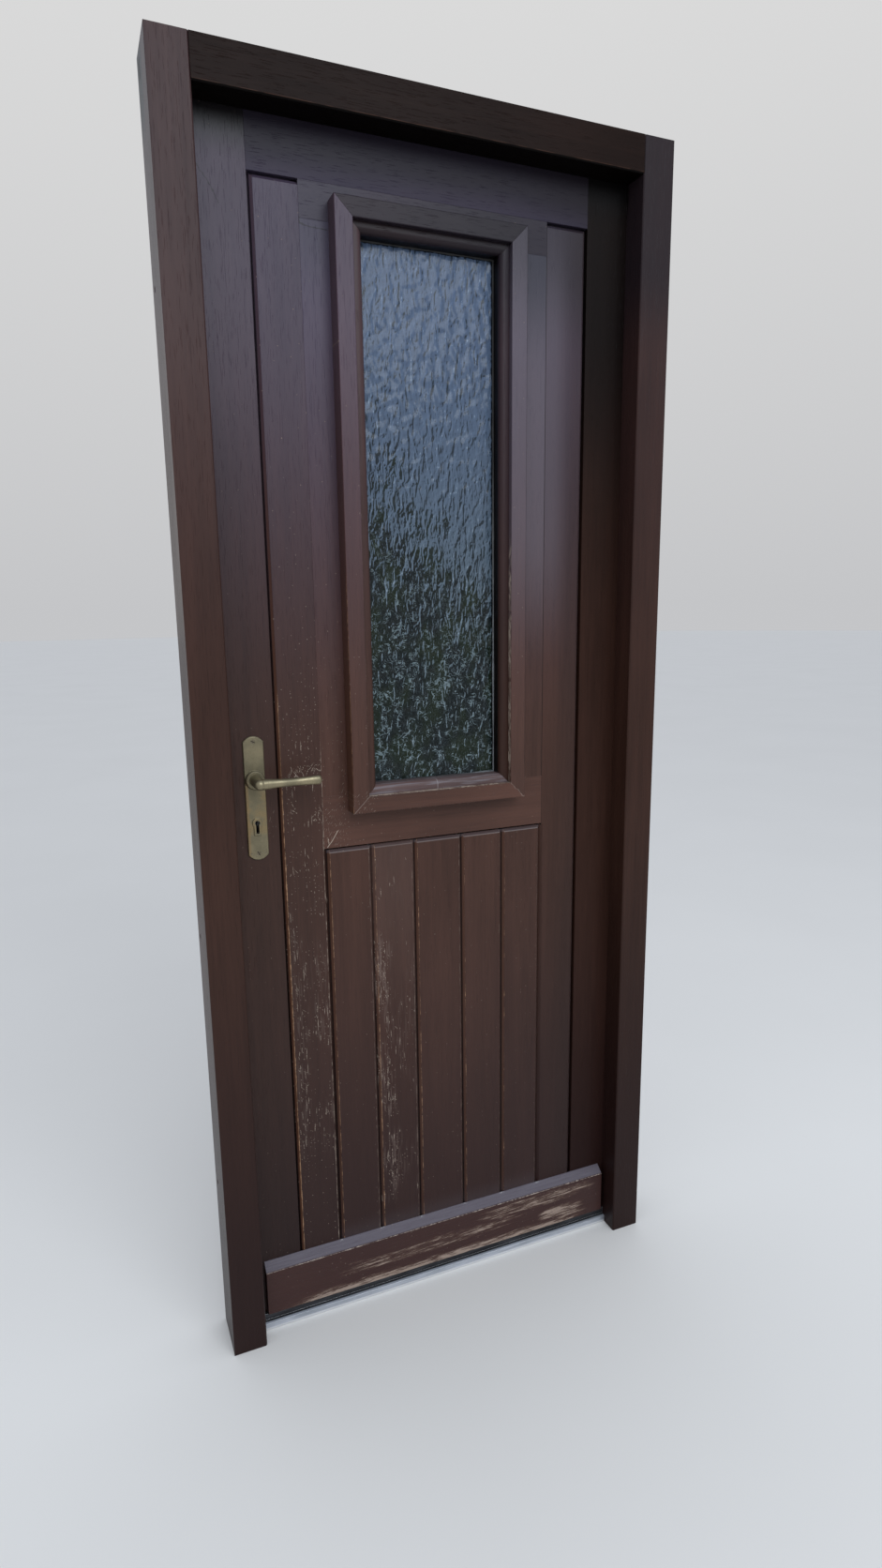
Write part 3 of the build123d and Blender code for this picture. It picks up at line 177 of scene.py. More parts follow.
WEATHERBOARD_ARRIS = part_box("weatherboard")[1].z - WEATHERBOARD_SLOPE
BEAD_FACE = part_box("outer_bead_top")[0].y
HEAD_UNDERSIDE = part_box("head_jamb")[0].z
PLATE_LOW, PLATE_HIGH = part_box("outside_plate")
PLATE_MIDDLE = (PLATE_LOW.x + PLATE_HIGH.x) / 2
THRESHOLD_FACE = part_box("threshold")[0].y

# Depths under the leaf's outside face
OUTSIDE_END = (0.0045, 0.0055)
CHAMFER_SIDE = (0.0006, 0.0034)
GROOVE_BOTTOM = (0.0042, 0.0060)
WEAR_AND_LIGHT_END = (0.018, 0.022)

# Heights between which light and wear change
FOOT_FADE = (0.10, 0.90)
SKY_SHEEN_RISE = (1.00, 1.95)
UNDER_HEAD_SHADOW_RISE = (1.70, 1.86)
STILE_SHADE_RISE = (1.15, 1.80)
HEAD_SHADE_RISE = (1.922, 1.982)
PAINTED_SHEEN_HEIGHTS = (1.44, 1.72)
BOARD_CHIP_HEIGHTS = (0.14, 0.90)

# Places across the leaf between which the light changes
UNDER_HEAD_SHADOW_SPREAD = (-0.26, 0.12)
PAINTED_SHEEN_FADE = (0.222, 0.272)

# Colours of the wood, with the painted light and shade on it
STAIN_DARK = (0.028, 0.0120, 0.0082)
STAIN_LIGHT = (0.082, 0.0365, 0.0255)
STAIN_FOOT = (0.0210, 0.0092, 0.0092)
# Painted sky sheen, a grey-blue veil on the upper wood
SKY_SHEEN = (0.063, 0.060, 0.115)
# Painted shade near the top, towards the hinge side
UNDER_HEAD_SHADOW = (0.010, 0.009, 0.013)
HEAD_SHADE = (0.0030, 0.0026, 0.0028)
STILE_SHADE = (0.004, 0.003, 0.003)
# Painted sheen beside the pane's middle
PAINTED_SHEEN = (0.140, 0.126, 0.150)
# Painted shade in grooves and along the moulding, and the dark of a hairline joint
JOINT_AND_SHADE_DARK = (0.0075, 0.0045, 0.0040)
CRACK = (0.008, 0.006, 0.008)
# Painted light on lit side chamfers of grooves and mouldings
PAINTED_LIT_SIDE = (0.095, 0.040, 0.022)
RUBBED_EDGE = (0.20, 0.14, 0.11)
RUBBED_FACE = (0.22, 0.165, 0.14)
FADED = (0.104, 0.062, 0.052)
LIT_CHAMFER = (0.105, 0.070, 0.060)
# Painted sky light on the boards' upward top chamfers
SKY_LIT_CHAMFER = (0.100, 0.090, 0.102)
DUSTY_FOOT = (0.080, 0.068, 0.076)
PALE_ARRIS = (0.26, 0.22, 0.21)
OPEN_MITRE = (0.26, 0.20, 0.17)
BARE_ORANGE = (0.44, 0.255, 0.145)
BARE_PALE = (0.50, 0.41, 0.33)
SPECK = (0.30, 0.235, 0.19)
BARE_BRIGHTNESS = 0.5


def grain_height(f, grain, shift):
    """Long streaks, fine fibres and short pores along the grain: three stretched noises."""
    across, along = (1.0, 1.0), 0.04
    order = {"x": (along, *across), "z": (*across, along)}[grain]

    def stretch(size):
        return f.stretched(tuple(size * part for part in order), shift=shift)

    streaks = f.noise(stretch(34.0), detail=4.0, roughness=0.6, distortion=0.5)
    fibres = f.noise(stretch(230.0), detail=3.0, roughness=0.6)
    pores = f.step(f.noise(stretch(820.0), detail=2.0), 0.60, 0.72)
    return streaks, fibres, pores


def outside(f):
    """One on the outside face and its arrises, nothing behind them."""
    return f.fall(f.y, *OUTSIDE_END)


def arris_chips(f, across, line, width, along, low, high, amount, shift):
    """Flakes beside a straight arris at a line across, from low to high along it: noise that has
    to beat the distance from the line, in widths, shown more in some patches than in others."""
    near = f.gap(across, line)
    flakes = f.noise(f.stretched((240.0, 240.0, 70.0), shift=shift), detail=4.0, roughness=0.68)
    held = f.minus(flakes, f.math("DIVIDE", near, width))
    patches = f.noise(f.stretched((30.0, 30.0, 30.0), shift=shift), detail=3.0, roughness=0.7)
    shown = f.plus(f.times(f.step(patches, 0.38, 0.58), 0.70), 0.30)
    return f.times(f.step(held, 1.0 - amount, 1.05 - amount), shown, f.band(along, low, high, 0.08))


def strokes(f, pitch, lean, thick, share, seed, turn=0.0):
    """Short thin strokes on the outside face, at most one in a cell of the pitch, which is given
    across and along: a cell's random numbers set its stroke's place, length and strength and its
    lean up to the greatest, and draw it under the share. The turn is that of the whole pattern."""
    across = f.plus(f.times(f.x, math.cos(turn)), f.times(f.z, math.sin(turn)))
    along = f.minus(f.times(f.z, math.cos(turn)), f.times(f.x, math.sin(turn)))
    u = f.math("DIVIDE", across, pitch[0])
    column = f.math("FLOOR", u)
    stagger = f.add("ShaderNodeTexWhiteNoise", {"W": f.plus(column, seed)}, noise_dimensions="1D")
    v = f.plus(f.math("DIVIDE", along, pitch[1]), f.times(stagger.outputs["Value"], 9.0))
    row = f.math("FLOOR", v)
    cell = f.add("ShaderNodeCombineXYZ", {0: column, 1: row, 2: seed}).outputs[0]
    place, tilt, size, ticket = f.draw(cell)
    du = f.minus(f.minus(u, column), f.plus(f.times(place, 0.6), 0.2))
    dv = f.minus(f.minus(v, row), 0.5)
    bend = f.times(f.minus(tilt, 0.5), f.times(dv, lean))
    side = f.times(f.gap(du, bend), pitch[0] / thick)
    reach = f.math("DIVIDE", dv, f.plus(f.times(size, size, 0.42), 0.05))
    away = f.plus(side, f.times(reach, reach))
    line = f.times(f.fall(away, 0.60, 1.0), f.plus(f.times(tilt, 0.6), 0.4))
    broken = f.step(f.noise(f.place, 520.0, 2.0, 0.6), 0.36, 0.50)
    kept = f.step(f.minus(share, ticket), 0.0, 0.01)
    return f.times(line, broken, kept, outside(f))


def fan(f, centre, start, end, inner, outer, count, share, seed):
    """Curved strokes that fan out from a centre, between two angles and two radii: one in each of
    the count of sectors, kept under the share by its random number."""
    dx = f.minus(f.x, centre[0])
    dz = f.minus(f.z, centre[1])
    radius = f.math("SQRT", f.plus(f.times(dx, dx), f.times(dz, dz)))
    angle = f.math("ARCTAN2", dz, dx)
    wander = f.times(f.minus(f.noise(f.place, 55.0, 2.0), 0.5), 1.3)
    sweep = f.plus(f.plus(angle, f.times(radius, 9.0)), wander)
    u = f.times(sweep, count / (end - start))
    sector = f.math("FLOOR", u)
    cell = f.add("ShaderNodeCombineXYZ", {0: sector, 1: seed}).outputs[0]
    place, low, high, ticket = f.draw(cell)
    off = f.minus(f.minus(u, sector), f.plus(f.times(place, 0.5), 0.25))
    gap = f.times(f.math("ABSOLUTE", off), radius, (end - start) / count)
    near = f.plus(f.times(low, 0.4 * (outer - inner)), inner)
    far = f.minus(outer, f.times(high, 0.4 * (outer - inner)))
    past_near = f.step(f.minus(radius, near), 0.0, 0.003)
    before_far = f.fall(f.minus(radius, far), -0.004, 0.0)
    kept = f.step(f.minus(share, ticket), 0.0, 0.01)
    inside = f.times(f.step(angle, start, start + 0.05), f.fall(angle, end - 0.05, end))
    broken = f.step(f.noise(f.place, 480.0, 2.0, 0.6), 0.42, 0.55)
    line = f.fall(gap, 0.0003, 0.0008)
    return f.times(line, f.times(past_near, before_far), kept, inside, broken, outside(f))


def specks(f, scale, size, share):
    """Small pale dots: the hearts of some cells of a Voronoi pattern across the face, larger or
    smaller and stronger or fainter by the cell's own random numbers."""
    flat = f.add("ShaderNodeCombineXYZ", {0: f.x, 1: f.z}).outputs[0]
    cells = f.add("ShaderNodeTexVoronoi", {"Vector": flat, "Scale": scale}, voronoi_dimensions="2D")
    chosen, grown, strength = f.add("ShaderNodeSeparateColor", {0: cells.outputs["Color"]}).outputs
    near = f.math("DIVIDE", cells.outputs["Distance"], f.plus(f.times(grown, size * 0.7), size * 0.4))
    dot = f.times(f.fall(near, 0.6, 1.0), f.plus(f.times(strength, 0.6), 0.4))
    return f.times(dot, f.step(f.minus(share, chosen), 0.0, 0.01), outside(f))


def crack(f, points, width):
    """A dark broken line through the points, its way bent a little by noise."""
    bend = f.times(f.minus(f.noise(f.place, 190.0, 2.0), 0.5), 0.006)
    x, z = f.plus(f.x, bend), f.plus(f.z, bend)
    nearest = None
    for (x0, z0), (x1, z1) in zip(points, points[1:]):
        run = ((x1 - x0) ** 2 + (z1 - z0) ** 2) ** 0.5
        ux, uz = (x1 - x0) / run, (z1 - z0) / run
        dx, dz = f.minus(x, x0), f.minus(z, z0)
        along = f.plus(f.times(dx, ux), f.times(dz, uz))
        beyond = f.minus(along, f.math("MINIMUM", f.math("MAXIMUM", along, 0.0), run))
        side = f.minus(f.times(dx, -uz), f.times(dz, -ux))
        gap = f.plus(f.math("ABSOLUTE", side), f.math("ABSOLUTE", beyond))
        nearest = gap if nearest is None else f.math("MINIMUM", nearest, gap)
    return f.times(f.fall(nearest, width * 0.5, width), outside(f))


def sunk(f, axis, low, high, shallow, deep):
    """One on a chamfer between two places across it and two depths under the outside face."""
    return f.times(f.band(f.y, shallow, deep, 0.0004), f.band(axis, low, high, 0.0006))


def painted_sky_and_shade(f, colour, painted_light, blotches, streaks):
    """The stain's colour with painted light on it: above nothing, the painted light is a grey-blue painted sky
    sheen that grows with height and a painted shade that darkens it near the top; below nothing, it is
    painted shade on the upper part instead; and all wood is nearly black with painted shade under the head."""
    if painted_light < 0:
        colour = f.mix(f.step(f.z, *STILE_SHADE_RISE, 0.0, -painted_light), colour, STILE_SHADE)
    if painted_light > 0:
        # Painted sky sheen, growing with height
        sheen_rise = f.step(f.z, *SKY_SHEEN_RISE, 0.0, painted_light)
        cloud = f.plus(blotches, f.times(streaks, 0.4))
        colour = f.mix(f.times(sheen_rise, f.step(cloud, 0.35, 1.0, 0.80, 1.0)), colour, SKY_SHEEN)
        # Painted shade under the head, spreading towards the hinge side
        under = f.times(f.step(f.z, *UNDER_HEAD_SHADOW_RISE), f.step(f.x, *UNDER_HEAD_SHADOW_SPREAD, 0.05, 0.70))
        colour = f.mix(under, colour, UNDER_HEAD_SHADOW)
    shade = f.times(f.step(f.z, *HEAD_SHADE_RISE), f.step(f.y, -0.006, -0.002))
    return f.mix(f.times(shade, 0.95), colour, HEAD_SHADE)


def stained_wood(name, grain, tone, painted_light, gloss, shift, wear_and_light):
    """Dark stain in satin finish over fine grain, lighter or darker by the tone, with the painted sky sheen
    and shade of its painted light, and with the wear and painted light that the piece has on its outside."""
    f = Finish(name)
    streaks, fibres, pores = grain_height(f, grain, shift)
    blotches = f.noise(f.stretched((5.0, 5.0, 2.2), shift=shift), detail=3.0)
    level = f.plus(f.times(streaks, 0.36), f.times(fibres, 0.24))
    level = f.plus(level, f.times(f.minus(blotches, 0.5), 0.42))
    level = f.plus(level, 0.17, clamp=True)
    light = tuple(part * tone for part in STAIN_LIGHT)
    dark = tuple(part * tone for part in STAIN_DARK)
    colour = f.mix(f.step(level, 0.14, 0.84), dark, light)
    colour = f.mix(f.times(pores, 0.24), colour, tuple(part * 0.55 for part in dark))
    foot = f.step(f.z, *FOOT_FADE, 0.80, 0.0)
    colour = f.mix(foot, colour, tuple(part * tone for part in STAIN_FOOT))
    colour = painted_sky_and_shade(f, colour, painted_light, blotches, streaks)
    rim, rounded = worn_edge(f, 0.0012, 0.80, 0.985)
    rub = f.times(rim, f.step(f.noise(f.place, 90.0, 4.0, 0.7), 0.50, 0.66), 0.5)
    colour = f.mix(f.times(rub, 0.40), colour, RUBBED_EDGE)
    bare = None
    # Wear and painted light only on the outside face
    outside_only = f.fall(f.y, *WEAR_AND_LIGHT_END)
    for mask, bare_colour, weight in wear_and_light(f, shift):
        mask = f.times(mask, outside_only)
        colour = f.mix(f.times(mask, weight), colour, bare_colour)
        if sum(bare_colour) > BARE_BRIGHTNESS:
            bare = mask if bare is None else f.most(bare, mask)
    rough = f.step(level, 0.2, 0.8, 0.42, 0.33)
    height = f.minus(f.times(fibres, 0.5), f.times(pores, 0.8))
    height = f.plus(height, f.times(streaks, 0.6))
    if bare is not None:
        rough = f.plus(rough, f.times(bare, 0.35), clamp=True)
        height = f.minus(height, f.times(bare, 1.2))
    normal = f.bump(height, 0.00020, rounded)
    return f.done(colour, rough, normal, Specular_IOR_Level=gloss)


def unworn(f, shift):
    """No wear."""
    return []


def patchy(f, scale, low, high, shift):
    """Soft patches of a stretched noise, used to gather strokes and specks."""
    return f.step(f.noise(f.stretched(scale, shift=shift), detail=2.0), low, high)


def lock_board_wear_and_light(f, shift):
    """The board beside the handle: painted light on its groove's lit chamfer, painted shade in its groove and
    joint, orange chips along its arris, fans of key scratches above and below the lever's end, short
    upright strokes and pale specks down to its foot."""
    joint = BOARD_JOINTS[0]
    groove = (FIELD_LEFT - 0.0015, FIELD_LEFT + 0.0065)
    left = arris_chips(f, f.x, FIELD_LEFT + 0.0052, 0.0034, f.z, 0.13, 1.10, 0.68, shift)
    right = arris_chips(f, f.x, joint - BOARD_CHAMFER, 0.0026, f.z, 0.13, 0.88, 0.64, shift)
    place = f.band(f.x, -0.272, -0.214, 0.010)
    gathered = patchy(f, (26.0, 26.0, 9.0), 0.42, 0.62, shift)
    lower = f.times(f.band(f.z, 0.42, 0.72, 0.14), place, gathered, 0.75)
    upper = f.times(f.band(f.z, 0.84, 1.07, 0.05), place, gathered, 0.42)
    fine = strokes(f, (0.0044, 0.030), 1.0, 0.00075, f.times(f.most(lower, upper), 0.8), 3.0)
    loose = strokes(f, (0.0060, 0.013), 2.4, 0.00055, f.times(f.most(lower, upper), 0.5), 8.0, turn=0.5)
    rubbed = f.times(patchy(f, (330.0, 330.0, 26.0), 0.50, 0.66, shift), lower)
    under_lever = f.times(f.band(f.z, 0.895, 0.95, 0.02), f.band(f.x, -0.246, -0.226, 0.004), 0.7)
    long_ones = strokes(f, (0.0060, 0.048), 0.6, 0.00060, under_lever, 5.0)
    above = fan(f, (-0.238, 1.008), 0.5, 2.9, 0.012, 0.044, 15, 0.62, 1.0)
    below = fan(f, (-0.232, 0.985), -2.6, -1.1, 0.022, 0.056, 13, 0.45, 4.0)
    dense = f.plus(f.times(f.band(f.z, 0.30, 1.10, 0.12), gathered, 0.45), 0.13)
    dense = f.times(dense, f.step(f.z, 1.10, 1.60, 1.0, 0.30))
    # Painted light on the groove's lit chamfer, fading upwards
    warm = f.times(sunk(f, f.x, *groove, *CHAMFER_SIDE), f.step(f.z, 0.95, 1.75, 1.0, 0.25))
    return [
        (warm, PAINTED_LIT_SIDE, 0.75),
        # Painted shade in the groove and the joint
        (sunk(f, f.x, *groove, *GROOVE_BOTTOM), JOINT_AND_SHADE_DARK, 0.80),
        (sunk(f, f.x, joint - 0.0065, joint + 0.0009, 0.0022, 0.0060), JOINT_AND_SHADE_DARK, 0.60),
        (left, BARE_ORANGE, 0.95),
        (right, BARE_PALE, 0.65),
        (rubbed, (0.20, 0.155, 0.13), 0.24),
        (f.most(fine, loose), BARE_PALE, 0.60),
        (f.most(long_ones, above, below), BARE_PALE, 0.66),
        (specks(f, 150.0, 0.14, dense), SPECK, 0.90),
    ]


def board_wear_and_light(left, right, chips, scuffed=False):
    """The wear and painted light of a short board: chips along both arrises of its face, painted light on its
    lit chamfers, painted shade in its grooves, painted sky light on its top chamfer, dust on its foot and a
    few specks, on the scuffed board also strokes and rubbed patches."""

    def wear_and_light(f, shift):
        width = 0.0026 if scuffed else 0.0020
        chipped = arris_chips(f, f.x, left + BOARD_CHAMFER, width, f.z, *BOARD_CHIP_HEIGHTS, chips, shift)
        tips = arris_chips(f, f.x, right - BOARD_CHAMFER, 0.0016, f.z, *BOARD_CHIP_HEIGHTS, chips - 0.03, shift)
        foot = f.fall(f.z, WEATHERBOARD_ARRIS + 0.004, WEATHERBOARD_ARRIS + 0.052)
        marks = [
            # Painted light on the lit chamfers, painted shade in the grooves, painted sky light on the top
            # chamfer
            (sunk(f, f.x, left, left + BOARD_CHAMFER, *CHAMFER_SIDE), PAINTED_LIT_SIDE, 0.45),
            (sunk(f, f.x, left - 0.001, left + 0.006, 0.0042, 0.0070), JOINT_AND_SHADE_DARK, 0.80),
            (sunk(f, f.x, right - 0.006, right + 0.001, 0.0040, 0.0070), JOINT_AND_SHADE_DARK, 0.55),
            (sunk(f, f.x, right - BOARD_CHAMFER, right, 0.0004, 0.0034), LIT_CHAMFER, 0.45),
            (sunk(f, f.z, BOARD_TOP - 0.0053, BOARD_TOP, 0.0006, 0.0050), SKY_LIT_CHAMFER, 0.35),
            (f.times(foot, outside(f)), DUSTY_FOOT, 0.30),
            (sunk(f, f.z, BOARD_TOP - 0.0059, BOARD_TOP - 0.0049, -0.0004, 0.0010), PALE_ARRIS, 0.45),
            (chipped, BARE_ORANGE, 0.95),
            (tips, BARE_PALE, 0.60),
            (specks(f, 95.0, 0.085, 0.10), SPECK, 0.60),
        ]
        if scuffed:
            near = f.step(f.x, left + 0.006, left + 0.060, 1.0, 0.20)
            gathered = patchy(f, (24.0, 24.0, 9.0), 0.42, 0.62, shift)
            held = f.times(f.band(f.z, 0.20, 0.86, 0.03), near, gathered)
            fine = strokes(f, (0.0042, 0.026), 1.2, 0.00080, f.times(held, 0.85), 2.0)
            cross = strokes(f, (0.0046, 0.013), 2.6, 0.00055, f.times(held, 0.45), 6.0, turn=0.7)
            rubbed = f.times(patchy(f, (330.0, 330.0, 28.0), 0.47, 0.64, shift), held)
            marks += [
                (f.step(f.z, 0.50, 0.85), FADED, 0.34),
                (rubbed, RUBBED_FACE, 0.38),
                (f.most(fine, cross), BARE_PALE, 0.66),
                (specks(f, 190.0, 0.18, f.times(held, 0.60)), SPECK, 0.9),
            ]
        return marks

    return wear_and_light


def stile_wear(f, shift):
    """A few specks, light scratches beside the handle's plate and a drying crack near the top."""
    held = f.times(f.band(f.x, -0.303, -0.290, 0.003), f.band(f.z, 0.925, 0.965, 0.012), 0.7)
    near = strokes(f, (0.0048, 0.014), 2.8, 0.00045, held, 4.0, turn=-0.5)
    split = crack(f, ((-0.365, 1.925), (-0.352, 1.905), (-0.340, 1.890), (-0.330, 1.868)), 0.0009)
    return [
        (near, BARE_PALE, 0.45),
        (split, CRACK, 0.8),
        (specks(f, 80.0, 0.07, 0.09), SPECK, 0.55),
    ]


def sash_wear_and_shade(f, shift):
    """The window frame: chips at its lower corner, fine scratches near it, a crack at the top and painted
    shade at its upper end."""
    left = arris_chips(f, f.x, WINDOW_LEFT + 0.0006, 0.0022, f.z, 0.875, 1.02, 0.66, shift)
    corner = f.times(f.band(f.x, -0.208, -0.170, 0.008), f.band(f.z, 0.895, 1.00, 0.04))
    gathered = patchy(f, (30.0, 30.0, 16.0), 0.38, 0.60, shift)
    loose = strokes(f, (0.0036, 0.012), 2.6, 0.00042, f.times(corner, gathered, 0.95), 7.0, turn=-0.45)
    cut = crack(f, ((-0.2065, 0.893), (-0.196, 0.906), (-0.1865, 0.9215)), 0.0009)
    second = crack(f, ((-0.2035, 0.899), (-0.205, 0.911)), 0.0007)
    split = crack(f, ((-0.2130, 1.868), (-0.2105, 1.858), (-0.1990, 1.8555), (-0.1680, 1.8545)), 0.0010)
    beside = f.times(f.band(f.z, 0.89, 1.20, 0.10), f.fall(f.x, -0.15, -0.12))
    dense = f.plus(f.times(beside, 0.26), 0.06)
    # Painted shade at the upper end
    upper = f.times(f.step(f.z, 1.74, 1.88), f.fall(f.x, -0.15, -0.10))
    return [
        (upper, (0.018, 0.019, 0.030), 0.42),
        (f.most(left, cut, second), BARE_PALE, 0.62),
        (loose, BARE_PALE, 0.50),
        (split, CRACK, 0.85),
        (specks(f, 120.0, 0.10, dense), SPECK, 0.75),
    ]


def moulding_wear_and_light(f, shift):
    """Pale chips along the moulding's arrises, scratches at its lower corner, open mitres, painted light on
    its side face on the lock side and a dark line of painted shadow on the hinge side."""
    low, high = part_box("moulding_bottom")
    band = high.z - low.z
    left, right, foot, sill = low.x + band, high.x - band, low.z, high.z
    inner = f.most(
        arris_chips(f, f.x, left, 0.0018, f.z, sill + 0.01, 1.50, 0.60, shift),
        arris_chips(f, f.x, right, 0.0011, f.z, sill + 0.01, 1.35, 0.57, shift),
    )
    inner = f.times(inner, f.step(f.z, sill - 0.002, sill))
    outer = arris_chips(f, f.x, low.x, 0.0022, f.z, foot, 1.30, 0.58, shift)
    outer = f.times(outer, f.step(f.y, low.y + 0.0025, low.y + 0.0015))
    # Painted light on the side face
    side = f.times(f.fall(f.x, low.x + 0.0003, low.x + 0.0008), f.step(f.z, 0.95, 1.9, 1.0, 0.3))
    rests = arris_chips(f, f.z, sill, 0.0018, f.x, left, right, 0.60, shift)
    rests = f.times(rests, f.band(f.x, left, right, 0.001))
    under = arris_chips(f, f.z, foot, 0.0020, f.x, low.x, high.x, 0.60, shift)
    corner = f.times(f.band(f.x, low.x, left + 0.006, 0.006), f.band(f.z, foot, sill + 0.004, 0.006))
    loose = strokes(f, (0.0034, 0.011), 2.8, 0.00042, f.times(corner, 0.85), 9.0, turn=-0.7)
    mitre = crack(f, ((low.x, foot), (left, sill)), 0.0009)
    other = crack(f, ((high.x, foot), (right, sill)), 0.0007)
    dense = f.plus(f.times(corner, 0.4), 0.07)
    # Painted shadow along the edge on the hinge side
    hinge_side_shadow = f.times(f.step(f.x, high.x - 0.0016, high.x - 0.0010), f.step(f.z, foot + 0.02, foot + 0.10))
    return [
        (side, PAINTED_LIT_SIDE, 0.50),
        (f.most(inner, rests, under), BARE_PALE, 0.75),
        (outer, BARE_ORANGE, 0.70),
        (f.most(loose, specks(f, 120.0, 0.10, dense)), SPECK, 0.80),
        (f.most(mitre, other), OPEN_MITRE, 0.55),
        (hinge_side_shadow, JOINT_AND_SHADE_DARK, 0.55),
    ]


def with_sheen(wear_and_light, weight):
    """The wear and painted light of a piece that also has a broad pale painted sheen beside the pane's
    middle and the dark hairline between the window frame and the board beside it."""

    def both(f, shift):
        # Painted sheen beside the pane's middle
        place = f.times(f.band(f.z, *PAINTED_SHEEN_HEIGHTS, 0.27), f.fall(f.x, *PAINTED_SHEEN_FADE))
        line = f.fall(f.gap(f.x, WINDOW_RIGHT), 0.0004, 0.0009)
        joint = f.times(line, outside(f), f.step(f.z, BOARD_TOP - 0.0015, BOARD_TOP + 0.0005))
        return [(place, PAINTED_SHEEN, weight), *wear_and_light(f, shift), (joint, JOINT_AND_SHADE_DARK, 0.8)]

    return both


def hinge_board_shade_and_highlight(f, shift):
    """The board beside the hinge stile: painted shade towards its far arris, whose chamfer has a painted
    highlight.
    """
    return [
        # Painted shade towards the far arris, painted highlight on its chamfer
        (f.step(f.x, WINDOW_RIGHT + 0.005, FIELD_RIGHT), (0.016, 0.009, 0.008), 0.42),
        (sunk(f, f.x, FIELD_RIGHT - 0.0035, FIELD_RIGHT + 0.0040, 0.0004, 0.0036), (0.105, 0.078, 0.078), 0.55),
    ]


def bead_sheen_and_seam(f, shift):
    """The lower bead: painted light from above, lilac-grey, with pale lengthwise lines of painted sheen and an
    open seam.
    """
    streaks = f.step(f.noise(f.stretched((16.0, 300.0, 300.0), shift=shift), detail=3.0), 0.48, 0.66)
    seam = f.fall(f.gap(f.x, -0.0098), 0.0004, 0.0008)
    return [
        # Painted light from above and pale lines of painted sheen
        (f.plus(f.times(streaks, 0.4), 0.6), (0.125, 0.108, 0.122), 0.60),
        (streaks, (0.24, 0.22, 0.235), 0.40),
        (seam, (0.30, 0.27, 0.27), 0.7),
    ]


def shaded_bead(f, shift):
    """A bead whose straight side towards the glass lies in deep shade."""
    return [(f.step(f.y, BEAD_FACE + 0.007, BEAD_FACE + 0.012), (0.0020, 0.0014, 0.0014), 0.96)]


def head_shade_and_highlight(f, shift):
    """The head: nearly black painted shade underneath, with a thin red-brown painted highlight in patches along
    its lower arris.
    """
    normal = f.add("ShaderNodeNewGeometry").outputs["True Normal"]
    facing = f.add("ShaderNodeSeparateXYZ", {0: normal}).outputs[2]
    # Painted shade on faces turned down
    below = f.fall(facing, -0.6, -0.3)
    arris = f.fall(f.z, HEAD_UNDERSIDE + 0.0015, HEAD_UNDERSIDE + 0.0035)
    rubbed = patchy(f, (40.0, 90.0, 90.0), 0.35, 0.60, shift)
    # Painted highlight in patches along the lower arris
    line = f.times(arris, f.minus(1.0, below), rubbed)
    return [(below, (0.0020, 0.0014, 0.0012), 0.95), (line, (0.110, 0.052, 0.034), 0.65)]


def top_rail_sheen_and_shade(f, shift):
    """The top rail: a cloudy grey-blue painted sky sheen, with painted shade towards the hinge side and under
    the head.
    """
    clouds = f.noise(f.stretched((4.0, 12.0, 22.0), shift=shift), detail=3.0)
    return [
        # Painted sky sheen, painted shade towards the hinge side and painted shade under the head
        (f.step(clouds, 0.20, 0.80, 0.80, 1.0), SKY_SHEEN, 0.46),
        (f.step(f.x, 0.08, 0.32), (0.010, 0.009, 0.012), 0.44),
        (f.step(f.z, 1.905, 1.962), (0.008, 0.005, 0.005), 0.70),
    ]


def shaded_top(f, shift):
    """The window frame's upright on the hinge side: painted shade towards its upper end."""
    return [(f.step(f.z, 1.66, 1.86), (0.018, 0.021, 0.036), 0.55)]


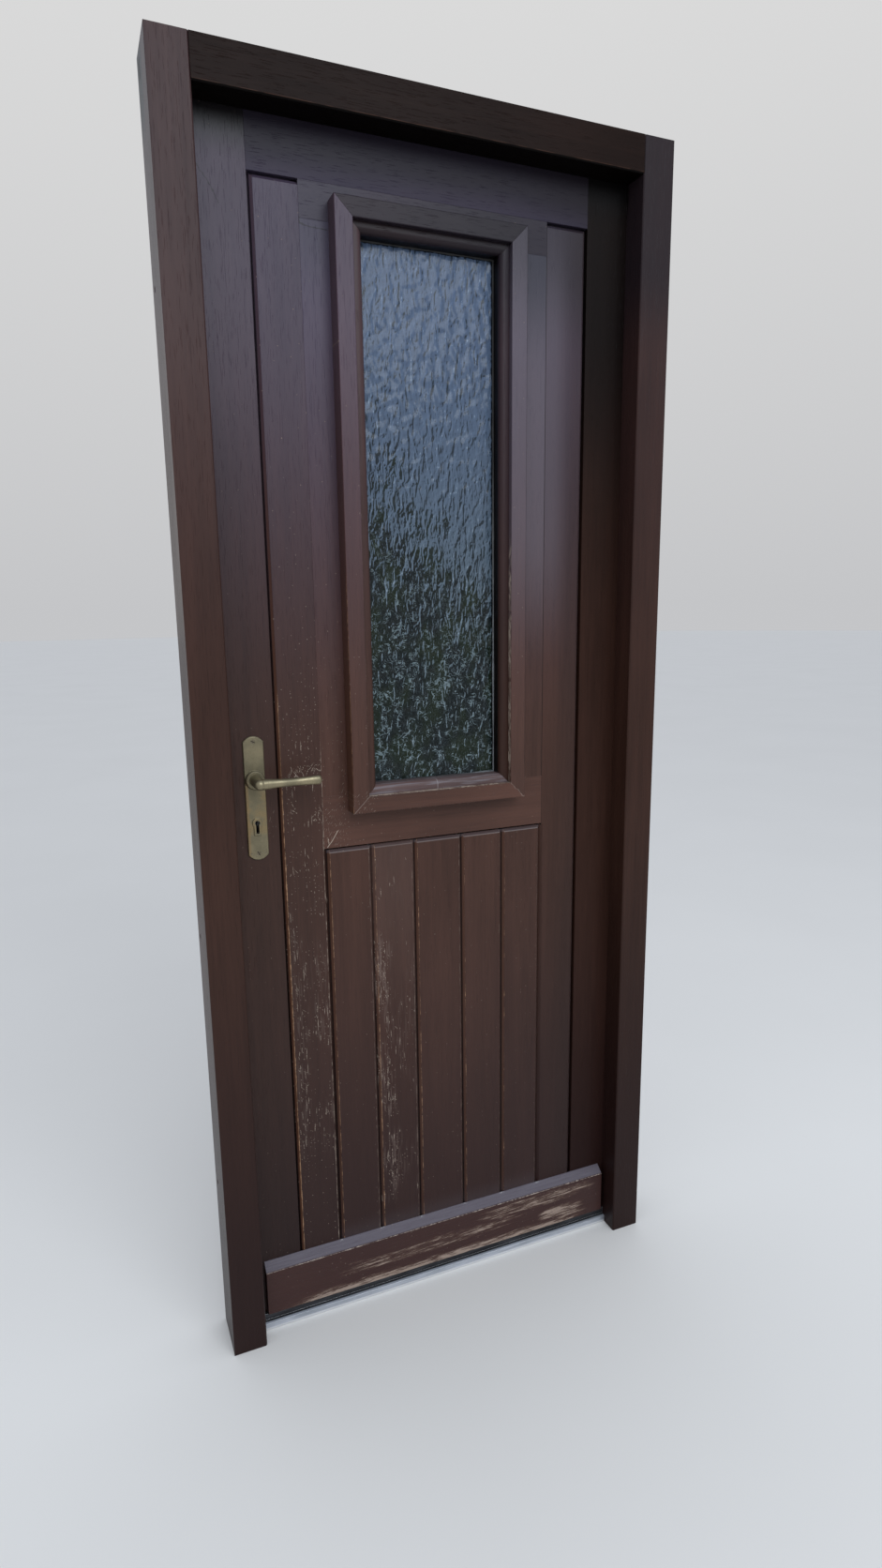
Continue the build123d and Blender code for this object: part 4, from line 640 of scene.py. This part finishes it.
def weather_wear_and_sky_light(f, shift):
    """Stain gone from the weatherboard in long thin streaks, with a chipped arris, painted sky light and dust
    on the sloped top and cobwebs in the joints above it."""
    front = f.fall(f.y, WEATHERBOARD_FACE + 0.0002, WEATHERBOARD_FACE + 0.0012)
    leaning = f.stretched((1.0, 1.0, 1.0), turn=(0.0, 0.035, 0.0))
    along, _, across = f.add("ShaderNodeSeparateXYZ", {0: leaning}).outputs

    def drawn_out(length, seed, width, **kind):
        """Noise on the board's face, stretched along it."""
        where = {0: f.times(along, length), 1: seed, 2: f.times(across, width)}
        return f.noise(f.add("ShaderNodeCombineXYZ", where).outputs[0], **kind)

    streaks = drawn_out(32.0, shift[0], 520.0, detail=4.0, roughness=0.75, distortion=0.2)
    flakes = drawn_out(11.0, shift[2], 105.0, detail=6.0, roughness=0.78, distortion=0.1)
    held = f.plus(f.times(streaks, 0.48), f.times(flakes, 0.52))
    foot = f.times(f.band(f.z, 0.026, 0.034, 0.022), f.band(f.x, -0.24, 0.22, 0.12), 0.17)
    middle = f.times(f.band(f.z, 0.068, 0.082, 0.012), f.band(f.x, -0.16, 0.10, 0.12), 0.08)
    upper = f.times(f.band(f.z, 0.092, 0.106, 0.012), f.band(f.x, 0.12, 0.28, 0.08), 0.11)
    side = f.times(f.band(f.z, 0.046, 0.066, 0.012), f.band(f.x, 0.23, 0.29, 0.04), 0.13)
    reach = f.most(foot, middle, upper, side)
    gone = f.plus(held, reach)
    bare = f.times(f.step(gone, 0.600, 0.665), f.step(reach, 0.01, 0.05), front)
    rubbed = f.times(f.step(gone, 0.54, 0.62), f.step(reach, 0.01, 0.05), front)
    arris = arris_chips(f, f.z, WEATHERBOARD_ARRIS, 0.0034, f.x, -0.34, 0.36, 0.64, shift)
    # Painted sky light on the sloped top
    lit_top = f.step(f.z, WEATHERBOARD_ARRIS + 0.0003, WEATHERBOARD_ARRIS + 0.0020)
    lint = f.times(lit_top, f.step(f.noise(f.stretched((14.0, 90.0, 420.0), shift=shift), detail=3.0), 0.35, 0.75))
    webs = f.most(*(f.fall(f.gap(f.x, joint), 0.001, 0.007) for joint in BOARD_JOINTS))
    webs = f.times(webs, f.step(f.y, -0.004, -0.001), f.step(f.noise(f.place, 420.0, 3.0), 0.42, 0.60))
    return [
        (f.times(lit_top, 0.85), (0.152, 0.140, 0.172), 0.78),
        (lint, (0.20, 0.19, 0.215), 0.30),
        (webs, (0.42, 0.41, 0.42), 0.6),
        (rubbed, (0.16, 0.100, 0.072), 0.45),
        (bare, (0.36, 0.275, 0.225), 0.85),
        (arris, (0.50, 0.42, 0.36), 0.80),
        (specks(f, 120.0, 0.12, 0.10), SPECK, 0.6),
    ]


# Each wooden node's grain direction, tone, painted light (above nothing a painted sky sheen, below
# # nothing painted shade), gloss and wear with painted light. The low tones of the head, top rail and top
# # bead are painted shade too, and the high tone of the lock-side moulding is painted light.
wood = {
    "lock_stile": ("z", 0.76, 0.45, 0.24, stile_wear),
    "hinge_stile": ("z", 0.67, -0.92, 0.07, unworn),
    "top_rail": ("x", 0.40, 0.0, 0.12, top_rail_sheen_and_shade),
    "bottom_rail": ("x", 1.0, 0.0, 0.2, unworn),
    "board_lock_side": ("z", 0.92, 0.56, 0.24, lock_board_wear_and_light),
    "board_hinge_side": ("z", 0.97, 0.50, 0.20, with_sheen(hinge_board_shade_and_highlight, 0.35)),
    "window_lock_stile": ("z", 1.30, 0.76, 0.24, sash_wear_and_shade),
    "window_hinge_stile": ("z", 1.22, 0.62, 0.24, with_sheen(shaded_top, 0.46)),
    "window_top_rail": ("x", 0.7, 0.45, 0.20, sash_wear_and_shade),
    "window_mid_rail": ("x", 1.32, 0.0, 0.24, sash_wear_and_shade),
    "moulding_lock": ("z", 1.34, 0.56, 0.24, moulding_wear_and_light),
    "moulding_hinge": ("z", 1.15, 0.62, 0.28, with_sheen(moulding_wear_and_light, 0.35)),
    "moulding_top": ("x", 0.32, 0.16, 0.18, unworn),
    "moulding_bottom": ("x", 1.45, 0.0, 0.24, moulding_wear_and_light),
    "outer_bead_lock": ("z", 1.1, 0.20, 0.22, unworn),
    "outer_bead_hinge": ("z", 0.55, 0.20, 0.16, shaded_bead),
    "outer_bead_top": ("x", 0.35, 0.08, 0.16, shaded_bead),
    "outer_bead_bottom": ("x", 1.7, 0.50, 0.24, bead_sheen_and_seam),
    "inner_bead_lock": ("z", 1.0, 0.0, 0.2, unworn),
    "inner_bead_hinge": ("z", 1.0, 0.0, 0.2, unworn),
    "inner_bead_top": ("x", 1.0, 0.0, 0.2, unworn),
    "inner_bead_bottom": ("x", 1.0, 0.0, 0.2, unworn),
    "lock_jamb": ("z", 0.8, 0.10, 0.16, unworn),
    "hinge_jamb": ("z", 0.70, 0.08, 0.14, unworn),
    "head_jamb": ("x", 0.22, 0.0, 0.06, head_shade_and_highlight),
    "weatherboard": ("x", 1.65, 0.0, 0.22, weather_wear_and_sky_light),
}
BOARD_CHIPS = (0.62, 0.64, 0.60, 0.53, 0.50)
SCUFFED_BOARD = 2
for number, chips in enumerate(BOARD_CHIPS, start=1):
    left, right = BOARD_JOINTS[number - 1:number + 1]
    wood[f"board_{number}"] = ("z", 1.05, 0.0, 0.22, board_wear_and_light(left, right, chips, number == SCUFFED_BOARD))


# Metal, glass and rubber
BRASS_SHADES = ((0.172, 0.150, 0.096), (0.245, 0.208, 0.130), (0.46, 0.40, 0.28))
# Painted reflections on the glass: dark green below, pale sky above, glints, and a painted shadow at the rim
GLASS_DARK_REFLECTION = (0.0062, 0.0100, 0.0110)
GLASS_GREEN_REFLECTION = (0.0105, 0.0175, 0.0085)
GLASS_SQUIGGLE_REFLECTION = (0.020, 0.029, 0.040)
GLASS_THREAD_GLINT = (0.080, 0.105, 0.115)
GLASS_SKY_REFLECTION_LOW = (0.100, 0.132, 0.146)
GLASS_SKY_REFLECTION_HIGH = (0.082, 0.118, 0.190)
GLASS_GLINT_STROKE = (0.205, 0.270, 0.295)
GLASS_GLINT = (0.34, 0.42, 0.50)
GLASS_RIM_SHADOW = (0.0035, 0.0040, 0.0050)
SCREW_RADIUS = 0.005
LENGTHWISE_BRUSHING = (1200.0, 1200.0, 60.0)


def aged_brass(name, tone):
    """Olive-brown brass, dulled in clouds, ochre where it is handled and bright on its edges."""
    f = Finish(name)
    dull, clear, bright = (tuple(part * tone for part in colour) for colour in BRASS_SHADES)
    clouds = f.noise(f.place, 38.0, 4.0, 0.6)
    grain = f.noise(f.place, 900.0, 2.0, 0.5)
    brushed = f.noise(f.stretched((1400.0, 1400.0, 60.0)), detail=2.0)
    colour = f.mix(f.step(clouds, 0.35, 0.68), dull, clear)
    warm = f.times(f.band(f.z, 0.940, 0.992, 0.02), f.step(clouds, 0.42, 0.60))
    colour = f.mix(f.times(warm, 0.50), colour, (0.25, 0.165, 0.070))
    left = f.times(f.fall(f.x, PLATE_LOW.x + 0.0035, PLATE_LOW.x + 0.0065), f.band(f.z, 0.89, 1.01, 0.02))
    colour = f.mix(f.times(left, 0.50), colour, (0.26, 0.160, 0.070))
    colour = f.mix(f.times(f.step(grain, 0.52, 0.70), 0.35), colour, (0.09, 0.075, 0.045))
    rim, rounded = worn_edge(f, 0.0010, 0.80, 0.990)
    colour = f.mix(f.times(rim, 0.60), colour, bright)
    rough = f.step(clouds, 0.3, 0.7, 0.50, 0.36)
    height = f.plus(f.times(grain, 0.6), f.times(brushed, 0.4))
    return f.done(colour, rough, f.bump(height, 0.00006, rounded), Metallic=0.85)


def screw_heads(name, centres):
    """Dull brass heads with a dark slot across each: a centre gives its place and its turn."""
    f = Finish(name)
    slot = None
    for x, z, turn in centres:
        dx = f.times(f.minus(f.x, x), math.sin(turn))
        dz = f.times(f.minus(f.z, z), math.cos(turn))
        line = f.fall(f.math("ABSOLUTE", f.plus(dx, dz)), 0.00045, 0.00065)
        near = f.band(f.z, z - SCREW_RADIUS, z + SCREW_RADIUS, 0.001)
        near = f.times(near, f.band(f.x, x - SCREW_RADIUS, x + SCREW_RADIUS, 0.001))
        slot = f.times(line, near) if slot is None else f.most(slot, f.times(line, near))
    grain = f.noise(f.place, 700.0, 3.0, 0.6)
    colour = f.mix(f.step(grain, 0.35, 0.70), (0.10, 0.085, 0.055), (0.24, 0.20, 0.14))
    colour = f.mix(slot, colour, (0.012, 0.010, 0.008))
    height = f.minus(f.times(grain, 0.2), slot)
    return f.done(colour, f.step(grain, 0.3, 0.7, 0.5, 0.35), f.bump(height, 0.0004), Metallic=0.8)


def steel(name, dark, light, rough):
    """Plain steel with fine brushing, a cloudy tarnish and brighter edges, with black painted shade inside
    the lock where the keyhole shows it."""
    f = Finish(name)
    clouds = f.noise(f.place, 30.0, 4.0, 0.65)
    brushed = f.noise(f.stretched(LENGTHWISE_BRUSHING), detail=2.0)
    colour = f.mix(f.step(clouds, 0.30, 0.70), dark, light)
    spots = f.step(f.noise(f.place, 260.0, 3.0, 0.6), 0.62, 0.74)
    colour = f.mix(f.times(spots, 0.35), colour, (0.16, 0.12, 0.09))
    rim, rounded = worn_edge(f, 0.0008, 0.80, 0.990)
    colour = f.mix(f.times(rim, 0.4), colour, (0.60, 0.60, 0.60))
    across = f.band(f.x, PLATE_MIDDLE - 0.013, PLATE_MIDDLE + 0.013, 0.004)
    # Painted black shade inside the lock behind the keyhole
    keyhole_shade = f.times(across, f.band(f.z, 0.925, 0.972, 0.004), f.band(f.y, 0.010, 0.035, 0.002))
    colour = f.mix(f.times(keyhole_shade, 0.97), colour, (0.004, 0.004, 0.004))
    roughness = f.step(clouds, 0.3, 0.7, rough + 0.08, rough)
    return f.done(colour, roughness, f.bump(brushed, 0.00005, rounded), Metallic=0.9)


def threshold_metal(name):
    """Mill-finish aluminium with lengthwise draw lines and a grey film, nearly black with painted shade
    behind the nose and paler at its foot."""
    f = Finish(name)
    draw = f.noise(f.stretched((6.0, 900.0, 900.0)), detail=3.0)
    film = f.noise(f.stretched((12.0, 90.0, 90.0)), detail=4.0, roughness=0.7)
    colour = f.mix(f.step(film, 0.30, 0.72), (0.38, 0.41, 0.46), (0.60, 0.63, 0.70))
    colour = f.mix(f.times(f.step(draw, 0.50, 0.72), 0.3), colour, (0.20, 0.21, 0.23))
    # Painted shade behind the nose
    behind_nose = f.step(f.y, THRESHOLD_FACE + 0.0025, THRESHOLD_FACE + 0.0045)
    shade_behind_nose = f.times(behind_nose, f.step(film, 0.25, 0.70, 0.98, 0.90))
    colour = f.mix(shade_behind_nose, colour, (0.010, 0.009, 0.010))
    foot = f.step(f.plus(f.z, f.times(film, 0.003)), 0.0050, 0.0070, 0.75, 0.0)
    colour = f.mix(foot, colour, (0.80, 0.80, 0.81))
    rim, rounded = worn_edge(f, 0.0010, 0.80, 0.990)
    colour = f.mix(f.times(rim, 0.5), colour, (0.75, 0.77, 0.80))
    return f.done(colour, f.step(film, 0.3, 0.7, 0.48, 0.34), f.bump(draw, 0.00008, rounded), Metallic=0.7)


def seal_rubber(name):
    """Matt black rubber with dust in its fine bloom."""
    f = Finish(name)
    dust = f.noise(f.stretched((60.0, 300.0, 300.0)), detail=4.0, roughness=0.7)
    colour = f.mix(f.step(dust, 0.45, 0.75), (0.012, 0.012, 0.012), (0.050, 0.048, 0.045))
    return f.done(colour, f.step(dust, 0.3, 0.7, 0.60, 0.75), f.bump(dust, 0.0001))


def relief(f, scale, shift, reach):
    """A stretched noise and how much it falls over the reach, as if lit from one side: above
    nothing on one flank of each swelling and below nothing on the other."""
    swell = [
        f.noise(f.stretched(scale, shift=(shift[0] + ahead, shift[1], shift[2] - ahead)),
                detail=2.0, roughness=0.5, distortion=0.7)
        for ahead in (0.0, reach)
    ]
    return swell[0], f.minus(*swell)


def rippled_glass(name):
    """Cast glass with its reflection painted on: a fine upright relief, a painted reflection of the pale sky
    with thin dark squiggles above, opening downwards into a painted reflection of dark green where only the
    lit flanks stay as painted glints in short pale strokes, and a nearly black painted shadow beside the
    beads on the hinge side and above."""
    f = Finish(name)
    lean = f.plus(f.z, f.times(f.x, 0.75))
    height = f.plus(lean, f.times(f.minus(f.noise(f.place, 18.0, 3.0, 0.6), 0.5), 0.42))
    # Share of the painted dark reflection, growing downwards
    dark_reflection_share = f.fall(height, 1.00, 1.72)
    swells, coarse = relief(f, (112.0, 112.0, 42.0), (0.7, 0.0, 0.1), 0.0016)
    fine = relief(f, (260.0, 260.0, 120.0), (0.2, 0.0, 0.4), 0.0007)[1]
    level = f.plus(f.times(coarse, 13.0), f.times(fine, 4.0))
    held = f.minus(level, f.step(dark_reflection_share, 0.0, 1.0, -1.20, 1.50))
    sky_lit = f.step(held, -0.30, 0.40)
    curls = f.noise(f.stretched((72.0, 72.0, 94.0), shift=(0.7, 0.0, 0.1)), detail=0.9, distortion=1.7)
    ridge = f.fall(f.gap(curls, 0.5), 0.010, 0.046)
    gaps = f.noise(f.stretched((92.0, 92.0, 80.0), shift=(0.1, 0.0, 0.9)), detail=0.8)
    glint_stroke = f.times(ridge, f.step(gaps, 0.49, 0.58), f.step(dark_reflection_share, 0.42, 0.92))
    glint_threads = f.noise(f.stretched((165.0, 165.0, 95.0), shift=(0.4, 0.0, 0.2)), detail=1.0, distortion=1.5)
    glint_threads = f.fall(f.gap(glint_threads, 0.5), 0.012, 0.055)
    reflected_leaves = patchy(f, (24.0, 24.0, 12.0), 0.40, 0.62, (0.3, 0.0, 0.5))
    # Painted reflection of dark leaves and green below, dark squiggles above
    depth = f.mix(reflected_leaves, GLASS_DARK_REFLECTION, GLASS_GREEN_REFLECTION)
    depth = f.mix(f.step(dark_reflection_share, 0.15, 0.60), GLASS_SQUIGGLE_REFLECTION, depth)
    depth = f.mix(f.times(glint_threads, f.step(dark_reflection_share, 0.3, 0.8, 0.0, 0.26)), depth, GLASS_THREAD_GLINT)
    # Painted reflection of the sky, bluer higher up
    sky_tint = f.mix(f.step(f.z, 1.0, 1.8), GLASS_SKY_REFLECTION_LOW, GLASS_SKY_REFLECTION_HIGH)
    shade = f.plus(f.times(level, 0.16), 1.0)
    sky = f.add("ShaderNodeVectorMath", {0: sky_tint, "Scale": shade}, operation="SCALE").outputs[0]
    colour = f.mix(sky_lit, depth, sky)
    colour = f.mix(f.times(glint_stroke, 0.85), colour, GLASS_GLINT_STROKE)
    # Painted glints
    glints = f.times(f.step(level, 1.4, 2.3), f.step(f.noise(f.place, 210.0, 1.0), 0.50, 0.62))
    colour = f.mix(f.times(glints, 0.60), colour, GLASS_GLINT)
    low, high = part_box("glass_pane")
    # Painted shadow along the glass beside the beads
    wobble = f.times(f.minus(f.noise(f.place, 170.0, 2.0), 0.5), 0.006)
    right = f.step(f.plus(f.x, wobble), high.x - 0.0185, high.x - 0.0165)
    above = f.step(f.plus(f.z, wobble), high.z - 0.0170, high.z - 0.0155)
    colour = f.mix(f.times(f.most(right, above), 0.96), colour, GLASS_RIM_SHADOW)
    return f.done(
        colour, f.step(swells, 0.3, 0.7, 0.16, 0.10), f.bump(swells, 0.0005),
        Transmission_Weight=0.20, IOR=1.5, Specular_IOR_Level=0.14,
    )


def putty(name):
    """Hardened putty, nearly black with painted shade but for its own pale colour low on the hinge side, and
    darker with dirt in spots.
    """
    f = Finish(name)
    dirt = f.noise(f.place, 160.0, 4.0, 0.7)
    clean = f.times(f.step(f.x, 0.04, 0.10), f.fall(f.z, 1.15, 1.65))
    # Painted shade over the putty but for its own pale colour low on the hinge side
    colour = f.mix(clean, (0.012, 0.012, 0.013), (0.16, 0.17, 0.18))
    colour = f.mix(f.times(f.step(dirt, 0.35, 0.7), 0.5), colour, (0.02, 0.02, 0.02))
    return f.done(colour, f.step(dirt, 0.3, 0.7, 0.6, 0.8), f.bump(dirt, 0.0003))


# New pieces
def add_piece(name, points, faces, material):
    """A smooth mesh object at the origin whose place is in its points."""
    mesh = bpy.data.meshes.new(name)
    mesh.from_pydata(points.tolist(), [], faces.tolist())
    mesh.materials.append(material)
    mesh.polygons.foreach_set("use_smooth", np.full(len(mesh.polygons), True))
    mesh.update()
    piece = bpy.data.objects.new(name, mesh)
    bpy.context.scene.collection.objects.link(piece)
    return piece


def grid_faces(rows, columns, start=0, flip=False):
    """The quads of a grid of points laid out row by row."""
    r, c = np.meshgrid(np.arange(rows - 1), np.arange(columns - 1), indexing="ij")
    a = (start + r * columns + c).ravel()
    quads = np.stack([a, a + 1, a + columns + 1, a + columns], axis=1)
    return quads[:, ::-1] if flip else quads


def rippled_pane(material):
    """A pane with one rippled face. Over a grid on the outside face of the box,
    s = sum of p sin(2 pi / p (x cos a + 0.6 z sin a) + f) over waves with a pitch p of 7 to 26 mm,
    a heading a and a phase f, and the depth is D min(r / R, 1) (0.5 + 0.5 tanh(s / deviation of s)),
    where r is the distance from the rim. The back is flat and the edges are closed."""
    low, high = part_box("glass_pane")
    columns, rows, waves = 94, 296, 44
    ripple_depth, flat_rim = 0.0009, 0.004
    x, z = np.meshgrid(np.linspace(low.x, high.x, columns), np.linspace(low.z, high.z, rows))
    rng = np.random.default_rng(11)
    wave = np.zeros_like(x)
    for _ in range(waves):
        pitch, heading, phase = rng.uniform(0.007, 0.026), rng.uniform(0, math.pi), rng.uniform(0, 2 * math.pi)
        ahead = x * math.cos(heading) + 0.6 * z * math.sin(heading)
        wave += pitch * np.sin(2 * math.pi / pitch * ahead + phase)
    wave = np.tanh(wave / wave.std())
    rim = np.minimum.reduce([x - low.x, high.x - x, z - low.z, high.z - z])
    depth = ripple_depth * np.clip(rim / flat_rim, 0, 1) * (0.5 + 0.5 * wave)
    front = np.stack([x, low.y + depth, z], axis=-1).reshape(-1, 3)
    back = np.stack([x, np.full_like(x, high.y), z], axis=-1).reshape(-1, 3)
    count = rows * columns
    index = np.arange(count).reshape(rows, columns)
    loop = np.concatenate([index[0, :], index[1:, -1], index[-1, -2::-1], index[-2:0:-1, 0]])
    after = np.roll(loop, -1)
    sides = np.stack([loop, loop + count, after + count, after], axis=1)
    faces = np.concatenate([grid_faces(rows, columns), grid_faces(rows, columns, count, flip=True), sides])
    piece = add_piece("rippled_pane", np.concatenate([front, back]), faces, material)
    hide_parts("glass_pane")
    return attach(piece, "leaf")


def putty_fillet(material):
    """A line of putty in the corner between the pane and the beads, carried round the four sides
    of the opening. At step i its section is a quarter round of radius
    1.8 + 0.4 sin(0.37 i) + 0.3 sin(1.13 i + 1) mm, with a strip under it to close it."""
    low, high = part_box("glass_pane")
    inset = 0.0135  # the pane's edge to the beads' edge
    under = 0.0003  # how far the strip lies under the pane's face
    corners = np.array([
        [low.x + inset, low.z + inset], [high.x - inset, low.z + inset],
        [high.x - inset, high.z - inset], [low.x + inset, high.z - inset],
    ])
    steps = 60  # on each side
    share = np.linspace(0, 1, steps, endpoint=False)[None, :, None]
    ends = np.roll(corners, -1, axis=0)[:, None, :]
    path = (corners[:, None, :] * (1 - share) + ends * share).reshape(-1, 2)
    middle = corners.mean(axis=0)
    inward = np.sign(middle - path)
    on_side = np.repeat(np.arange(4), steps)
    first = np.tile(np.arange(steps) == 0, 4)
    inward[:, 0] = np.where((on_side % 2 == 0) & ~first, 0, inward[:, 0])
    inward[:, 1] = np.where((on_side % 2 == 1) & ~first, 0, inward[:, 1])
    run = np.arange(len(path))
    size = 0.0018 + 0.0004 * np.sin(run * 0.37) + 0.0003 * np.sin(run * 1.13 + 1.0)
    angle = np.linspace(0, math.pi / 2, 5)
    across = size[:, None] * (1 - np.sin(angle))[None, :]
    forward = size[:, None] * (1 - np.cos(angle))[None, :]
    u = np.concatenate([across, np.full((len(path), 1), -0.0004)], axis=1)
    y = np.concatenate([-forward, np.full((len(path), 1), under)], axis=1) + low.y + 0.0001
    points = np.stack([
        path[:, None, 0] + inward[:, None, 0] * u, y, path[:, None, 1] + inward[:, None, 1] * u
    ], axis=-1)
    rows, columns = len(path), u.shape[1]
    index = np.arange(rows * columns).reshape(rows, columns)
    ahead, beside = np.roll(index, -1, axis=0), np.roll(index, -1, axis=1)
    corner = np.roll(ahead, -1, axis=1)
    faces = np.stack([index.ravel(), beside.ravel(), corner.ravel(), ahead.ravel()], axis=1)
    piece = add_piece("glazing_putty", points.reshape(-1, 3), faces, material)
    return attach(piece, "leaf")


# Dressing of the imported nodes
def dress(node, material):
    """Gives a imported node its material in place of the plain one."""
    node_object = nodes[node]
    node_object.data.materials.clear()
    node_object.data.materials.append(material)


for index, (node, (grain, tone, painted_light, gloss, wear_and_light)) in enumerate(sorted(wood.items())):
    shift = (0.37 * index, 0.11 * index, 0.73 * index)
    dress(node, stained_wood(f"stain_{node}", grain, tone, painted_light, gloss, shift, wear_and_light))

plate_brass = aged_brass("plate_brass", 1.0)
lever_brass = aged_brass("lever_brass", 1.22)
for side in ("outside", "inside"):
    dress(f"{side}_plate", plate_brass)
    dress(f"{side}_lever", lever_brass)
plate_screws = ((PLATE_MIDDLE, PLATE_HIGH.z - 0.0090, 0.5), (PLATE_MIDDLE, PLATE_LOW.z + 0.0115, 1.1))
dress("plate_screws", screw_heads("plate_screw_heads", plate_screws))
hinge_steel = steel("hinge_steel", (0.30, 0.29, 0.27), (0.44, 0.43, 0.41), 0.36)
lock_steel = steel("lock_steel", (0.36, 0.36, 0.35), (0.52, 0.52, 0.50), 0.32)
for node in nodes:
    if node.startswith("hinge_") and node not in ("hinge_stile", "hinge_jamb"):
        dress(node, hinge_steel)
for node in (
    "strike_plate", "strike_screws", "forend", "forend_screws", "lock_case", "lock_cover", "spindle",
    "follower", "latch_bolt", "dead_bolt", "tumbler", "latch_spring",
):
    dress(node, lock_steel)
dress("threshold", threshold_metal("threshold_metal"))
dress("threshold_seal", seal_rubber("seal_rubber"))
rippled_pane(rippled_glass("rippled_glass"))
putty_fillet(putty("glazing_putty"))


# Studio
def studio_floor():
    """A wide pale disc just under the sill: rings of points round its middle."""
    level = -0.0005
    angle = np.linspace(0, 2 * math.pi, 96, endpoint=False)
    rings = [0.5, 1.5, 4.0, 12.0, 40.0]
    points = [[0.0, 0.0, level]]
    for radius in rings:
        points += [[radius * math.cos(a), radius * math.sin(a), level] for a in angle]
    count = len(angle)
    faces = [[0, 1 + i, 1 + (i + 1) % count] for i in range(count)]
    mesh = bpy.data.meshes.new("studio_floor")
    for ring in range(len(rings) - 1):
        a = 1 + ring * count
        for i in range(count):
            after = (i + 1) % count
            faces.append([a + i, a + count + i, a + count + after, a + after])
    mesh.from_pydata(points, [], faces)
    f = Finish("floor_paint")
    cloud = f.noise(f.place, 1.3, 3.0)
    mesh.materials.append(f.done(f.mix(cloud, (0.78, 0.755, 0.72), (0.82, 0.795, 0.76)), Roughness=0.9))
    floor = bpy.data.objects.new("studio_floor", mesh)
    bpy.context.scene.collection.objects.link(floor)


def studio_light():
    """A soft pale surround, seen by the camera as a pale backdrop, and one large cool softbox
    high in front of the door."""
    world = bpy.data.worlds.new("studio")
    bpy.context.scene.world = world
    world.use_nodes = True
    tree = world.node_tree
    place = tree.nodes.new("ShaderNodeTexCoord")
    split = tree.nodes.new("ShaderNodeSeparateXYZ")
    tree.links.new(place.outputs["Generated"], split.inputs[0])

    def coloured_by_height(background, low_colour, high_colour, high_place):
        """Colours a background from the horizon up."""
        ramp = tree.nodes.new("ShaderNodeValToRGB")
        tree.links.new(split.outputs[2], ramp.inputs[0])
        low_end, high_end = ramp.color_ramp.elements
        low_end.color, high_end.color = (*low_colour, 1), (*high_colour, 1)
        high_end.position = high_place
        tree.links.new(ramp.outputs[0], background.inputs["Color"])
        return background

    background = coloured_by_height(tree.nodes["Background"], (0.84, 0.84, 0.84), (0.70, 0.77, 0.88), 0.8)
    background.inputs["Strength"].default_value = 0.9
    backdrop = tree.nodes.new("ShaderNodeBackground")
    coloured_by_height(backdrop, (0.555, 0.560, 0.575), (0.700, 0.700, 0.700), 0.5)
    seen = tree.nodes.new("ShaderNodeLightPath").outputs["Is Camera Ray"]
    choice = tree.nodes.new("ShaderNodeMixShader")
    tree.links.new(seen, choice.inputs[0])
    tree.links.new(background.outputs[0], choice.inputs[1])
    tree.links.new(backdrop.outputs[0], choice.inputs[2])
    tree.links.new(choice.outputs[0], tree.nodes["World Output"].inputs["Surface"])
    light = bpy.data.lights.new("softbox", "AREA")
    light.shape = "RECTANGLE"
    light.size, light.size_y = 3.2, 2.2
    light.energy = 90.0
    light.color = (0.86, 0.93, 1.0)
    lamp = bpy.data.objects.new("softbox", light)
    lamp.location = (0.3, -3.6, 3.5)
    lamp.rotation_euler = (Vector((0.0, 0.0, 1.1)) - lamp.location).to_track_quat("-Z", "Y").to_euler()
    bpy.context.scene.collection.objects.link(lamp)


def studio_camera():
    """The photograph's view: a place, a turn about Z, a tilt and a small roll."""
    place = (-0.59257, -1.42211, 1.29893)
    yaw, pitch, roll = math.radians(22.826), math.radians(-11.497), math.radians(-0.730)
    ahead = Vector((math.sin(yaw) * math.cos(pitch), math.cos(yaw) * math.cos(pitch), math.sin(pitch)))
    level = Vector((math.cos(yaw), -math.sin(yaw), 0.0))
    upright = level.cross(ahead)
    right = math.cos(roll) * level + math.sin(roll) * upright
    up = -math.sin(roll) * level + math.cos(roll) * upright
    data = bpy.data.cameras.new("camera")
    data.sensor_width = 36.0
    data.lens = 20.297
    data.clip_start = 0.02
    camera = bpy.data.objects.new("camera", data)
    turn = Matrix((right, up, -ahead)).transposed().to_4x4()
    camera.matrix_world = Matrix.Translation(place) @ turn
    bpy.context.scene.collection.objects.link(camera)
    bpy.context.scene.camera = camera


studio_floor()
studio_light()
studio_camera()
bpy.context.scene.view_settings.view_transform = "Standard"
